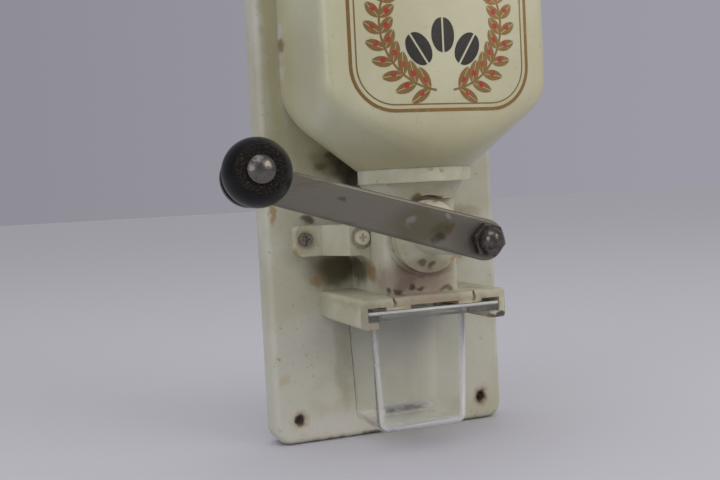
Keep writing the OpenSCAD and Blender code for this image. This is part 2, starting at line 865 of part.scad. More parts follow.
// The plate that closes the burr chamber at the back and carries the rear bush
module rear_bearing_plate() {
  color(steel)
    difference() {
      translate([-rear_plate_w / 2, out_y(rear_plate_t), shaft_z - rear_plate_w / 2])
        cube([rear_plate_w, rear_plate_t, rear_plate_w]);
      bar(-cut, rear_plate_t + cut, journal_d / 2 + bush_wall + run_gap + fit_gap);
      rear_screw_places() {
        cylinder(d = small_d + 2 * fit_gap, h = rear_plate_t + cut);
        translate([0, 0, -cut])
          cylinder(d = small_head_d + 0.2, h = small_head_h + cut + 0.1);
      }
    }
}

module rear_plate_screws() {
  color(steel)
    rear_screw_places()
      translate([0, 0, small_head_h + 0.1])
        rotate([180, 0, 0])
          small_screw(rear_plate_t + rear_screw_bite);
}

module rear_bush() {
  color(bronze)
    difference() {
      bar(0.4, rear_bush_l, journal_d / 2 + bush_wall + run_gap);
      bar(0, rear_bush_l + cut, journal_d / 2 + run_gap);
    }
}

// A V groove along a cone that narrows from r_0 to r_1 over its length, pointing in or out
module groove(r_0, r_1, length, depth, way) {
  translate([(r_0 + r_1) / 2, 0, length / 2])
    rotate([0, -atan2(r_0 - r_1, length), 0])
      rotate([tooth_slant, 0, 0])
        linear_extrude(height = 1.7 * length, center = true)
          polygon([[way * 0.5, -depth], [way * 0.5, depth], [-way * depth, 0]]);
}

// The fixed burr: a ring with a toothed conical bore
module outer_burr() {
  wide = burr_wide_r + burr_gap;
  narrow = burr_narrow_r + burr_gap;
  color(steel)
    translate([0, out_y(burr_0), shaft_z])
      rotate([90, 0, 0])
        difference() {
          cylinder(r = outer_burr_r, h = burr_l);
          cylinder(r1 = wide, r2 = narrow, h = burr_l);
          translate([0, 0, -cut])
            cylinder(r = wide, h = cut);
          translate([0, 0, burr_l])
            cylinder(r = narrow, h = cut);
          for (i = [0 : outer_teeth - 1])
            rotate([0, 0, 360 * i / outer_teeth])
              groove(wide, narrow, burr_l, tooth_depth, -1);
          rotate([0, 0, -90])
            translate([outer_burr_r - 0.9, 0, burr_l / 2])
              rotate([0, 90, 0])
                cylinder(d = small_d + 2 * fit_gap, h = 2);
        }
}

// The place of the outer burr's set screw, under the chamber
module burr_screw_place() {
  translate([0, out_y(burr_0 + burr_l / 2), shaft_z - outer_burr_r + 0.7])
    rotate([180, 0, 0])
      children();
}

module outer_burr_screw() {
  color(steel)
    burr_screw_place()
      difference() {
        cylinder(d = small_d, h = burr_screw_l);
        translate([0, 0, burr_screw_l])
          cube([small_d + cut, 0.6, 1.4], center = true);
      }
}

// The front cap: a ring, a domed drum and a long slim nose round the shaft
module front_cap() {
  dome_r = (cap_drum_r * cap_drum_r + cap_dome * cap_dome) / (2 * cap_dome);
  color(casting)
    difference() {
      union() {
        bar(spigot_0, column_d + cut, feed_r);
        bar(column_d, drum_0, cap_ring_r);
        bar(column_d, drum_1, cap_drum_r);
        intersection() {
          bar(drum_1 - cut, drum_1 + cap_dome, cap_drum_r);
          translate([0, out_y(drum_1 + cap_dome - dome_r), shaft_z])
            sphere(r = dome_r, $fn = 128);
        }
        bar(drum_1, nose_1, nose_root_r, nose_r);
      }
      bar(spigot_0 - cut, nose_1 + cut, shaft_r + 0.6);
      bar(nose_1 - front_bush_l, nose_1 + cut, shaft_r + run_gap + bush_wall + fit_gap);
    }
}

module front_bush() {
  color(bronze)
    difference() {
      bar(nose_1 - front_bush_l, nose_1, shaft_r + run_gap + bush_wall);
      bar(nose_1 - front_bush_l - cut, nose_1 + cut, shaft_r + run_gap);
    }
}

module thrust_washer() {
  color(steel)
    difference() {
      bar(nose_1, nose_1 + thrust_t, nose_r - 0.3);
      bar(nose_1 - cut, nose_1 + thrust_t + cut, shaft_r + run_gap);
    }
}

// A cross pin through the shaft at a station
module cross_pin(out, half, r) {
  translate([-half, out_y(out), shaft_z])
    rotate([0, 90, 0])
      cylinder(r = r, h = 2 * half);
}

worm_0 = burr_1 + 0.4;
burr_pin_out = burr_0 + 0.55 * burr_l;
worm_pin_out = worm_0 + worm_l / 2;
worm_hub_r = shaft_r + 1.8;

module drive_pins() {
  color(steel) {
    cross_pin(burr_pin_out, burr_narrow_r - 2.2, drive_pin_d / 2);
    cross_pin(worm_pin_out, worm_hub_r - 0.2, drive_pin_d / 2);
  }
}

module pin_holes() {
  cross_pin(burr_pin_out, burr_narrow_r - 2.1, drive_pin_d / 2 + fit_gap);
  cross_pin(worm_pin_out, worm_hub_r + drill_past, drive_pin_d / 2 + fit_gap);
}

// The seat of the crank arm: a round with two flats, turned with the arm
module arm_seat(gap) {
  intersection() {
    bar(arm_0 - gap, arm_1 + gap, thread_d / 2 + gap);
    translate([0, out_y((arm_0 + arm_1) / 2), shaft_z])
      rotate([0, crank_rise, 0])
        cube([2 * thread_d, arm_t + 4 * cut, flat_w + 2 * gap], center = true);
  }
}

module drive_shaft() {
  color(steel)
    difference() {
      union() {
        bar(0.5, rear_bush_l + cut, journal_d / 2);
        bar(rear_bush_l + 0.4, arm_0, shaft_r);
        arm_seat(0);
        bar(arm_1, arm_1 + nut_hex_h + 1, flat_w / 2);
        bar(arm_1, arm_1 + nut_hex_h, thread_d / 2);
      }
      pin_holes();
    }
}

// The turning burr: a toothed cone, pinned to the shaft
module inner_burr() {
  color(steel)
    difference() {
      translate([0, out_y(burr_0), shaft_z])
        rotate([90, 0, 0])
          difference() {
            cylinder(r1 = burr_wide_r, r2 = burr_narrow_r, h = burr_l);
            for (i = [0 : inner_teeth - 1])
              rotate([0, 0, 360 * i / inner_teeth])
                groove(burr_wide_r, burr_narrow_r, burr_l, tooth_depth, 1);
          }
      bar(burr_0 - cut, burr_1 + cut, shaft_r + fit_gap);
      cross_pin(burr_pin_out, burr_narrow_r - 2.1, drive_pin_d / 2 + fit_gap);
    }
}

// The feed worm: two blades that wind round a hub and push the beans into the burrs
module feed_worm() {
  color(steel)
    difference() {
      union() {
        bar(worm_0, worm_0 + worm_l, worm_hub_r);
        translate([0, out_y(worm_0), shaft_z])
          rotate([90, 0, 0])
            linear_extrude(height = worm_l, twist = worm_turn, slices = 30, segments = 4, $fn = 12)
              square([2 * feed_r - 1.6, 2.6], center = true);
      }
      bar(worm_0 - cut, worm_0 + worm_l + cut, shaft_r + fit_gap);
      cross_pin(worm_pin_out, worm_hub_r - 0.1, drive_pin_d / 2 + fit_gap);
    }
}

// The grip nut that draws the shaft forward and sets the grind
module adjusting_nut() {
  color(steel)
    difference() {
      bar(adjust_0, adjust_1, adjust_r);
      bar(adjust_0 - cut, adjust_1 + cut, shaft_r + run_gap);
      for (i = [0 : adjust_notches - 1])
        translate([0, out_y(adjust_0 - cut), shaft_z])
          rotate([90, 360 * i / adjust_notches, 0])
            translate([adjust_r + 0.25, 0, 0])
              cylinder(r = 0.7, h = adjust_l + 2 * cut);
    }
}

// A disc with rounded edges, its back on z = 0
module soft_disc(r, t, edge) {
  rotate_extrude($fn = 40) {
    square([r - edge, t]);
    translate([0, edge])
      square([r, t - 2 * edge]);
    for (y = [edge, t - edge])
      translate([r - edge, y])
        circle(r = edge, $fn = 16);
  }
}

// The crank arm: a flat bar that tapers from the shaft to the knob, with soft edges
module crank_arm() {
  color(steel)
    difference() {
      hull() {
        translate([0, out_y(arm_0), shaft_z])
          rotate([90, 0, 0])
            soft_disc(arm_hub_w / 2, arm_t, arm_edge_r);
        translate([crank_tip[0], out_y(arm_0), shaft_z + crank_tip[1]])
          rotate([90, 0, 0])
            soft_disc(arm_tip_w / 2, arm_t, arm_edge_r);
      }
      arm_seat(fit_gap);
      peg(crank_tip[0], shaft_z + crank_tip[1], arm_0 - cut, arm_1 + cut, spindle_d / 2 + fit_gap);
    }
}

module crank_nut() {
  color(steel)
    difference() {
      union() {
        intersection() {
          translate([0, out_y(arm_1), shaft_z])
            rotate([90, 15, 0])
              cylinder(d = nut_af / cos(30), h = nut_hex_h, $fn = 6);
          bar(arm_1 - cut, arm_1 + nut_hex_h + 3.4, nut_af / 2 + 4.4, nut_af / 2 - 0.6);
        }
        bar(arm_1 + nut_hex_h - cut, arm_1 + nut_hex_h + 1, nut_dome_r);
        translate([0, out_y(arm_1 + nut_hex_h + 1), shaft_z])
          sphere(r = nut_dome_r);
      }
      bar(arm_1 - 2 * cut, arm_1 + nut_hex_h + 1.5, thread_d / 2 + fit_gap);
      bar(arm_1 - nut_dome_r, arm_1, nut_af);
    }
}

// Things along the leaning axis of the knob, with z = 0 on the arm's face
module on_spindle() {
  translate([crank_tip[0], out_y(arm_1), shaft_z + crank_tip[1]])
    rotate([90 - knob_lean, 0, -knob_sway])
      children();
}

module knob_spindle() {
  tip_x = crank_tip[0];
  tip_z = shaft_z + crank_tip[1];
  head_z = knob_end + 0.25;
  head_ball = (spindle_head_r * spindle_head_r + 4) / 4;
  collar_h = 0.4 * knob_start;
  color(steel) {
    peg(tip_x, tip_z, arm_0 - 1.8, arm_0, spindle_d / 2 + 1.6);
    peg(tip_x, tip_z, arm_0 - cut, arm_1 + collar_h / 2, spindle_d / 2);
    peg(tip_x, tip_z, arm_1, arm_1 + collar_h, spindle_d / 2 + 1.2);
    on_spindle() {
      translate([0, 0, collar_h / 2])
        cylinder(d = spindle_d, h = head_z + 0.3 - collar_h / 2);
      intersection() {
        translate([0, 0, head_z])
          cylinder(r = spindle_head_r, h = 4);
        translate([0, 0, head_z + 2.6 - head_ball])
          sphere(r = head_ball);
      }
    }
  }
}

// The knob: a turned foot, a drawn-in neck and a ball with a flat front
module crank_knob() {
  ball_z = knob_start + knob_ball_out;
  color([0.06, 0.06, 0.06])
    on_spindle()
      difference() {
        union() {
          translate([0, 0, knob_start])
            cylinder(r = knob_foot_r, h = knob_foot_h);
          translate([0, 0, knob_start + knob_foot_h])
            cylinder(r1 = knob_foot_r, r2 = knob_neck_r, h = knob_foot_h / 2);
          translate([0, 0, knob_start])
            cylinder(r = knob_neck_r, h = knob_ball_out);
          intersection() {
            translate([0, 0, ball_z])
              sphere(r = knob_ball_r, $fn = 96);
            translate([0, 0, knob_start])
              cylinder(r = 2 * knob_ball_r, h = knob_l);
          }
        }
        translate([0, 0, knob_start - cut])
          cylinder(d = spindle_d + 2 * run_gap, h = knob_l + 2 * cut);
      }
}

// Section of the right rail: a top beside the foot plate, an outer wall, a lip and a tab
module rail_section() {
  side = rail_span / 2;
  seam = foot_w / 2 + fit_gap;
  r = rail_edge_r;
  high = foot_z - lip_z + lip_t;
  low = lip_z - lip_t;
  difference() {
    union() {
      translate([seam, low])
        square([side - r - seam, high]);
      translate([seam, low + r])
        square([side - seam, high - 2 * r]);
      for (z = [low + r, low + high - r])
        translate([side - r, z])
          circle(r = r);
    }
    translate([seam - cut, lip_z])
      square([side - rail_wall - seam + cut, channel_h]);
    translate([seam - cut, low - cut])
      square([side - lip_reach - seam + cut, lip_t + 2 * cut]);
  }
  translate([seam - rail_tab_reach, foot_low - rail_tab_t])
    square([rail_tab_reach + 4, rail_tab_t]);
}

module right_cup_rail() {
  color(cream)
    difference() {
      push_out(0, foot_out)
        rail_section();
      rail_screw_places()
        translate([0, 0, -rail_tab_t - cut])
          cylinder(d = small_d + 2 * fit_gap, h = rail_tab_t + 2 * cut);
    }
}

module left_cup_rail() {
  mirror([1, 0, 0])
    right_cup_rail();
}

// The four screw places under the foot plate
module rail_screw_places() {
  for (x = [-1, 1], out = [0.42, 0.86])
    translate([x * (foot_w / 2 - rail_tab_reach / 2), out_y(out * foot_out), foot_low])
      children();
}

module rail_screws() {
  color(steel)
    rail_screw_places()
      translate([0, 0, -rail_tab_t])
        rotate([180, 0, 0])
          small_screw(rail_tab_t + foot_t - 1.2);
}

// The body of the cup, which narrows downward and has soft lower edges
module cup_form(inset) {
  top_r = cup_edge_r - 0.8 * inset;
  low_r = cup_edge_r - 0.8 * inset;
  front = cup_out + cup_d - inset;
  back = cup_out + inset;
  taper = (cup_w - cup_bottom_w) / 2;
  hull() {
    for (x = [-1, 1], out = [back + top_r, front - top_r])
      translate([x * (cup_w / 2 - inset - top_r), out_y(out), rim_low])
        cylinder(r = top_r, h = rim_t, $fn = 32);
    for (x = [-1, 1], out = [back + low_r + taper, front - low_r - taper])
      translate([x * (cup_bottom_w / 2 - inset - low_r), out_y(out), cup_low + inset + low_r])
        sphere(r = low_r, $fn = 32);
  }
}

// The cup: a clear moulded box with a flat rim that runs in the rails
module grounds_cup() {
  color([0.80, 0.82, 0.82, 0.5])
    difference() {
      union() {
        cup_form(0);
        translate([-rim_w / 2, out_y(cup_out + cup_d + rim_grip), rim_low])
          cube([rim_w, cup_d + rim_grip, rim_t]);
        translate([-rim_w / 2, out_y(cup_out + cup_d + rim_grip), rim_low])
          cube([rim_w, rim_t, rim_strip_h]);
      }
      cup_form(cup_wall);
      translate([0, 0, rim_t])
        cup_mouth();
    }
}

module cup_mouth() {
  r = cup_edge_r - 0.8 * cup_wall;
  translate([0, 0, rim_low - 0.05])
    linear_extrude(height = rim_t)
      translate([0, out_y(cup_out + cup_d / 2)])
        rounded_rect(cup_w - 2 * cup_wall, cup_d - 2 * cup_wall, r);
}

back_board();
hopper_shell();
hopper_board_screws();
hopper_floor_screws();
hopper_lid();
lid_hinge_leaf();
lid_rivets();
board_hinge_leaf();
hinge_leaf_screws();
hinge_pin();
mill_body();
outer_wing_screws();
inner_wing_screws();
rear_bearing_plate();
rear_plate_screws();
rear_bush();
outer_burr();
outer_burr_screw();
front_cap();
front_bush();
thrust_washer();
drive_shaft();
inner_burr();
feed_worm();
drive_pins();
adjusting_nut();
crank_arm();
crank_nut();
knob_spindle();
crank_knob();
left_cup_rail();
right_cup_rail();
rail_screws();
grounds_cup();
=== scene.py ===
# %% [markdown]
# # A wall mounted coffee mill
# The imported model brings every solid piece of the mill, in metres, with the wall at y = 0 and the
# front towards -Y. This lesson gives the pieces their finishes: worn paint, enamel, steel,
# lacquer and clear plastic. Three pieces are made here: the hopper's shell with its soft bend,
# the crank's dome nut and a printed ornament. The lesson also sets up the camera and the studio.

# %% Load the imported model
import math

import bmesh
import bpy
from mathutils import Matrix, Vector


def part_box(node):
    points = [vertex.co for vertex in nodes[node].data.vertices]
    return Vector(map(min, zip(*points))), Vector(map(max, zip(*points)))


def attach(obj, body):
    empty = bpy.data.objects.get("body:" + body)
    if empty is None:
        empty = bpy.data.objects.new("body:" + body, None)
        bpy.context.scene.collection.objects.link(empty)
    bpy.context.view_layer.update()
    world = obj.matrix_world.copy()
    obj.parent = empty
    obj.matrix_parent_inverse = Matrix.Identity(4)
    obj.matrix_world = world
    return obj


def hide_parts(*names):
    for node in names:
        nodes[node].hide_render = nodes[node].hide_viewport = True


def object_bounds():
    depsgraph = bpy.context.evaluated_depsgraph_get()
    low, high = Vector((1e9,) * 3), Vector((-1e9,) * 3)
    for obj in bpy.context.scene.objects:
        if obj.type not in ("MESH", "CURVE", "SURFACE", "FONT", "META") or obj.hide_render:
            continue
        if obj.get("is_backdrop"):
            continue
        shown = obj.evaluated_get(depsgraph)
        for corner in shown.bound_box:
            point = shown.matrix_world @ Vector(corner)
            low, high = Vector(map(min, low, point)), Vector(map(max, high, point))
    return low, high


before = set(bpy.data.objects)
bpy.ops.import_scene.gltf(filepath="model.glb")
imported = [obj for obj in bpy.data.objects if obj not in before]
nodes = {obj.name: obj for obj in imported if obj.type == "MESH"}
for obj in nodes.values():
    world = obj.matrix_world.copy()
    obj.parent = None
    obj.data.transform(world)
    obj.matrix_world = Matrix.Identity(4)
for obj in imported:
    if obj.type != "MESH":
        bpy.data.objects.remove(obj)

MM = 0.001
cad_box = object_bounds()
print(len(nodes), "pieces,", [round((b - a) / MM) for a, b in zip(*cad_box)], "mm")

# %% [markdown]
# Sizes on the object are easiest to read in millimetres. "Out" is the distance in front of the
# board, which is how a maker would measure such a mill: everything is screwed to that one face.

# %% Places on the mill
BOARD_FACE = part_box("back_board")[0].y
BOARD_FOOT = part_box("back_board")[0].z


def at(x, out, z):
    """A point given in millimetres, out from the board's face, in the frame's metres."""
    return Vector((x * MM, BOARD_FACE - out * MM, z * MM))


print("board face", round(BOARD_FACE / MM, 1), "mm, board foot", round(BOARD_FOOT / MM, 1), "mm")

# %% [markdown]
# The picture was taken by hand, a little from the left and slightly below the middle of the mill.
# The camera's place, turn and focal length below come from fitting the board's corners and holes,
# so the render can be laid over the photograph. The small roll is the tilt of the hand.

# %% Camera
YAW, PITCH, ROLL = (math.radians(d) for d in (20.6, 3.0, -2.9))
FOCAL_PX, FRAME_PX, SENSOR_MM = 1010.4, 720, 36
EYE = at(-192.8, 476.6, -43.9)

forward = Vector((math.sin(YAW) * math.cos(PITCH), math.cos(YAW) * math.cos(PITCH),
                  -math.sin(PITCH)))
level = Vector((math.cos(YAW), -math.sin(YAW), 0))
upright = level.cross(forward)
right = math.cos(ROLL) * level + math.sin(ROLL) * upright
up = math.cos(ROLL) * upright - math.sin(ROLL) * level

studio = bpy.context.scene
camera = bpy.data.objects.new("photo_camera", bpy.data.cameras.new("photo_camera"))
camera.data.sensor_width = SENSOR_MM
camera.data.lens = FOCAL_PX / FRAME_PX * SENSOR_MM
aimed = Matrix((right, up, -forward)).transposed().to_4x4()
camera.matrix_world = Matrix.Translation(EYE) @ aimed
studio.collection.objects.link(camera)
studio.camera = camera
print("lens", round(camera.data.lens, 1), "mm")

# %% [markdown]
# Colours are written as sRGB hex values, the way a colour picker gives them, and Blender's
# shaders want linear light, so one function converts them. Another adds a node: it sets the
# node's options and fills its sockets. A socket takes a value, a link from another socket, or a
# whole node, which stands for that node's result. A Mix node for colours has its lower colour in
# socket 6 and its upper one in socket 7, so these two numbers get names.

# %% Colour and node helpers
UNDER, OVER = 6, 7


def linear(code):
    """An sRGB hex colour as linear RGBA."""
    parts = [int(code[i:i + 2], 16) / 255 for i in (1, 3, 5)]
    return [p / 12.92 if p <= 0.04045 else ((p + 0.055) / 1.055) ** 2.4 for p in parts] + [1.0]


def fill(tree, node, sockets):
    """Fills a node's sockets: links what is a socket or a node, and sets what is a value."""
    for name, value in dict(sockets).items():
        if isinstance(value, bpy.types.Node):
            value = next(o for o in value.outputs if o.enabled)
        if isinstance(value, bpy.types.NodeSocket):
            tree.links.new(value, node.inputs[name])
        else:
            node.inputs[name].default_value = value


def add(tree, kind, sockets=(), **options):
    """Adds a shader node, sets its options and fills its sockets."""
    node = tree.nodes.new("ShaderNode" + kind)
    for name, value in options.items():
        setattr(node, name, value)
    fill(tree, node, sockets)
    return node


def start(name):
    """A new material with its tree, its shader and its Object coordinates."""
    material = bpy.data.materials.new(name)
    material.use_nodes = True
    tree = material.node_tree
    shader = next(n for n in tree.nodes if n.type == "BSDF_PRINCIPLED")
    return material, tree, shader, add(tree, "TexCoord").outputs["Object"]


print("white is", linear("#ffffff")[:3])

# %% [markdown]
# The studio starts with a pale floor at the board's foot, one large plane whose far edge is the
# horizon behind the mill. A finished form becomes an object in one function, which every new
# piece goes through. It can also shade the piece smooth, apart from edges that are sharper than
# an angle.

# %% Floor
FLOOR_HALF, FLOOR_GAP = 6, 0.2


def new_piece(name, form, sharp=None):
    """A new object from a finished form, shaded smooth up to an angle in degrees."""
    for face in form.faces:
        face.smooth = sharp is not None
    piece = bpy.data.objects.new(name, bpy.data.meshes.new(name))
    form.to_mesh(piece.data)
    form.free()
    if sharp is not None:
        piece.data.set_sharp_from_angle(angle=math.radians(sharp))
    studio.collection.objects.link(piece)
    return piece


floor_form = bmesh.new()
bmesh.ops.create_grid(floor_form, x_segments=1, y_segments=1, size=FLOOR_HALF)
bmesh.ops.translate(floor_form, verts=floor_form.verts, vec=(0, 0, BOARD_FOOT - FLOOR_GAP * MM))
floor = new_piece("floor", floor_form)
floor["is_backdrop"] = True

floor_paint, tree, shader, _ = start("matt_white_board")
fill(tree, shader, {"Base Color": linear("#b8b8c1"), "Roughness": 0.7})
floor.data.materials.append(floor_paint)
print("floor at", round(BOARD_FOOT / MM - FLOOR_GAP, 1), "mm")

# %% [markdown]
# The world lights the mill evenly with a warm white. Rays from the camera, and those in metal and
# plastic, see the backdrop's own colour instead: a quiet grey-lilac, a little lighter to the
# right. A wall could stand there, but it would shade the light, and the world needs no corner or
# end.

# %% World
studio.view_settings.view_transform = "Standard"
studio.world = bpy.data.worlds.new("studio")
studio.world.use_nodes = True
tree = studio.world.node_tree
tree.nodes.clear()

ray = add(tree, "LightPath").outputs
sees = ray["Is Camera Ray"]
for kind in ("Is Glossy Ray", "Is Transmission Ray"):
    sees = add(tree, "Math", {0: sees, 1: ray[kind]}, operation="MAXIMUM")

heading = add(tree, "SeparateXYZ", {0: add(tree, "TexCoord").outputs["Generated"]}).outputs["X"]
heading = add(tree, "MapRange", {"Value": heading, "From Min": 0.05, "From Max": 0.62})
grey = add(tree, "Mix", {0: heading, UNDER: linear("#8f8e97"), OVER: linear("#9c9ba5")},
           data_type="RGBA")
backdrop = add(tree, "Background", {"Color": grey, "Strength": 1.0})
glow = add(tree, "Background", {"Color": linear("#fbfaf8"), "Strength": 0.72})
add(tree, "OutputWorld", {"Surface": add(tree, "MixShader", {0: sees, 1: glow, 2: backdrop})})
print("world has", len(tree.nodes), "nodes")

# %% [markdown]
# Three large lamps shape the mill. The one to the upper right, like a window, gives the soft
# shine that runs down the enamel. One above and one to the left keep the shadows open. Square
# area lamps are the plainest way to a soft edge: the larger the square, the softer the shadow.

# %% Lamps
def soft_lamp(name, place, target, width, watts, colour):
    """A large square lamp that looks at a point, with its places and width in metres."""
    lamp = bpy.data.objects.new(name, bpy.data.lights.new(name, "AREA"))
    lamp.data.size = width
    lamp.data.energy = watts
    lamp.data.color = linear(colour)[:3]
    lamp.location = place
    aim = Vector(target) - Vector(place)
    lamp.rotation_euler = aim.to_track_quat("-Z", "Y").to_euler()
    studio.collection.objects.link(lamp)


soft_lamp("window", place=(0.75, -1.1, 0.75), target=(0, -0.05, 0), width=0.9, watts=7.5,
          colour="#fff8ee")
soft_lamp("ceiling", place=(-0.3, -0.5, 1.3), target=(0, -0.05, -0.05), width=1.0, watts=4.5,
          colour="#fbfaff")
soft_lamp("room", place=(-1.3, -0.9, 0.45), target=(0, -0.05, -0.05), width=0.9, watts=4.4,
          colour="#f4f4ff")

# %% [markdown]
# ## Worn paint
# The board, the hopper and the castings all wear cream paint that is decades old, with stains and
# rust at places that can be measured, and painted shade where parts overhang. They could be painted
# on an image, but a list of stains in millimetres needs no file and stays sharp at any size. A
# stain, or a patch of painted shade, is an ellipsoid round a point on the mill, strong in its core
# and gone at its border, and a noise frays that border.

# %% Stains and painted shade
FRAY_GRAIN, FRAY_PUSH = 2.2, 2.4
SPOT_CORE = 0.35


def frayed(tree, place, fray_mm):
    """The place, pushed about by a noise."""
    fray = add(tree, "TexNoise", {"Vector": place, "Scale": 1 / (FRAY_GRAIN * fray_mm * MM),
                                  "Detail": 3.0})
    push = add(tree, "VectorMath", {0: fray.outputs["Color"], 1: (0.5, 0.5, 0.5)},
               operation="SUBTRACT")
    return add(tree, "VectorMath", {0: push, 1: [FRAY_PUSH * fray_mm * MM] * 3, 2: place},
               operation="MULTIPLY_ADD")


def spot(tree, place, middle, radii, strength):
    """How strongly a stain or painted shade covers the place: full in its core, none at its border.
    """
    shrink = [1 / (r * MM) for r in radii]
    shift = [-c * s for c, s in zip(at(*middle), shrink)]
    inside = add(tree, "VectorMath", {0: place, 1: shrink, 2: shift}, operation="MULTIPLY_ADD")
    inside = add(tree, "VectorMath", {0: inside}, operation="LENGTH")
    return add(tree, "MapRange", {"Value": inside, "From Min": 1.0, "From Max": SPOT_CORE,
                                  "To Max": strength}, interpolation_type="SMOOTHSTEP")


def stains_and_shade_over(tree, place, colour, stains_and_shade, fray_mm):
    """Lays stains and painted shade over a colour: (x, out, z) and radii in mm, a hex colour and a
    strength.
    """
    if stains_and_shade:
        place = frayed(tree, place, fray_mm)
    for middle, radii, code, strength in stains_and_shade:
        cover = spot(tree, place, middle, radii, strength)
        colour = add(tree, "Mix", {0: cover, UNDER: colour, OVER: linear(code)}, data_type="RGBA")
    return colour


print("a stain is full within", SPOT_CORE, "of its radius")

# %% [markdown]
# The paint itself has five layers: two creams that drift into each other like clouds, fine flecks,
# the stains with some painted shade, edges where the paint has gone, and a skin that is not quite
# flat. One function builds them, and each painted piece gives it its own tones, sizes, stains and
# shade. The worn edges could be masked by hand. A Bevel node finds them instead: its normal differs
# from the true one only near an edge, which is where hands rub the paint off.

# %% The paint function
FLECK_MM, RUB_MM, RUB_PATCH_MM, PAINT_FRAY = 2.4, 1.1, 7, 3.0


def worn_paint(name, tones, cloud_mm, fleck, bare, wear, stains_and_shade, roughness, coat, skin_mm,
               skin_depth):
    """Old paint: two clouded tones, flecks, stains and painted shade, worn edges, and a skin with
    some relief.
    """
    material, tree, shader, place = start(name)
    clouds = add(tree, "TexNoise", {"Vector": place, "Scale": 1 / (cloud_mm * MM), "Detail": 5.0,
                                    "Roughness": 0.6})
    drift = add(tree, "MapRange", {"Value": clouds, "From Min": 0.36, "From Max": 0.64},
                interpolation_type="SMOOTHSTEP")
    colour = add(tree, "Mix", {0: drift, UNDER: linear(tones[0]), OVER: linear(tones[1])},
                 data_type="RGBA")
    grit = add(tree, "TexNoise", {"Vector": place, "Scale": 1 / (FLECK_MM * MM), "Detail": 2.0})
    grit = add(tree, "MapRange", {"Value": grit, "From Min": 0.66, "From Max": 0.74,
                                  "To Max": 0.55})
    colour = add(tree, "Mix", {0: grit, UNDER: colour, OVER: linear(fleck)}, data_type="RGBA")
    colour = stains_and_shade_over(tree, place, colour, stains_and_shade, PAINT_FRAY)
    rounded = add(tree, "Bevel", {"Radius": RUB_MM * MM}, samples=6)
    true = add(tree, "NewGeometry").outputs["Normal"]
    same = add(tree, "VectorMath", {0: rounded, 1: true}, operation="DOT_PRODUCT")
    rub = add(tree, "MapRange", {"Value": same, "From Min": 0.985, "From Max": 0.80,
                                 "To Max": wear})
    patchy = add(tree, "TexNoise", {"Vector": place, "Scale": 1 / (RUB_PATCH_MM * MM),
                                    "Detail": 6.0, "Roughness": 0.7})
    patchy = add(tree, "MapRange", {"Value": patchy, "From Min": 0.44, "From Max": 0.62})
    rub = add(tree, "Math", {0: rub, 1: patchy}, operation="MULTIPLY")
    colour = add(tree, "Mix", {0: rub, UNDER: colour, OVER: linear(bare)}, data_type="RGBA")
    dull = add(tree, "MapRange", {"Value": clouds, "From Min": 0.3, "From Max": 0.7,
                                  "To Min": roughness - 0.06, "To Max": roughness + 0.1})
    skin = add(tree, "TexNoise", {"Vector": place, "Scale": 1 / (skin_mm * MM), "Detail": 3.0})
    bump = add(tree, "Bump", {"Height": skin, "Strength": 0.5, "Distance": skin_depth * MM})
    fill(tree, shader, {"Base Color": colour, "Roughness": dull, "Normal": bump,
                        "Coat Weight": coat, "Coat Roughness": 0.22})
    return material


print("flecks of", FLECK_MM, "mm, stains frayed by about", PAINT_FRAY, "mm")

# %% [markdown]
# The board is painted wood: brushed by hand, matt with age, grey-green where hands and steam
# reached it. Rust has bled from the four wall screw holes, the bottom edge is rubbed down to dark
# wood, and coffee oil has darkened the paint under the hopper and beside the mill. Painted shade
# darkens it further beside and under the hopper, under the left wing and beside the cup.

# %% Painted wood of the board
HOLE_X, HOLE_Z = 50.5, 158.0
board_stains_and_shade = [
    # Yellowing and painted shade up the left side by the hopper, painted shade and old oil under it
    ((-54, 0, 50), (7, 10, 110), "#938c55", 0.55),
    ((-38, 0, -20), (26, 10, 26), "#8a8350", 0.55),
    # The dark smear between the hopper and the left wing, deepened by painted shade behind the
    # funnel
    ((-30, 0, -29), (11, 10, 10), "#6b6138", 0.6),
    ((-21, 0, -33), (17, 10, 12), "#4c4124", 0.7),
    ((-27, 0, -27), (5, 10, 3.5), "#3a2d17", 0.75),
    ((-24, 0, -31), (7, 10, 3.5), "#453a20", 0.7),
    ((-33, 0, -33), (4.5, 10, 2.6), "#4a3f24", 0.6),
    ((-20, 0, -34), (9, 10, 7), "#2e2414", 0.85),
    ((-15, 0, -40), (9, 10, 8), "#241b0e", 0.9),
    # Grime under the left wing, darkened by painted shade, with an orange edge
    ((-28, 0, -84.5), (21, 10, 13), "#625736", 0.85),
    ((-26, 0, -84), (14, 10, 9.5), "#453c24", 0.8),
    ((-38, 0, -89), (4, 10, 3.5), "#8a6a34", 0.6),
    # Brown marks at the left edge and above the wing
    ((-59, 0, -55), (2.6, 10, 7), "#9a7845", 0.75),
    ((-40.8, 0, -58.9), (4.6, 10, 3.2), "#4a2f1c", 0.85),
    ((-57, 0, -137), (3.5, 10, 3), "#a88d55", 0.35),
    # Paler patches round the cup, and a band of painted shadow beside its left side
    ((-34, 0, -147), (9, 10, 9), "#bdbab0", 0.6),
    ((-26, 0, -132), (6.5, 10, 32), "#77735b", 0.35),
    ((48, 0, -143), (16, 10, 26), "#b9b7ad", 0.6),
    ((-25, 0, -162), (44, 10, 9), "#bebcb6", 0.7),
    # Brown marks to the right of the mill
    ((44, 0, -60), (16, 10, 5), "#7f6a4a", 0.4),
    ((30, 0, -98), (16, 10, 8), "#86765a", 0.5),
    # The bottom edge, rubbed down to the wood
    ((0, 4, -171), (90, 60, 3.5), "#57432d", 0.85),
]
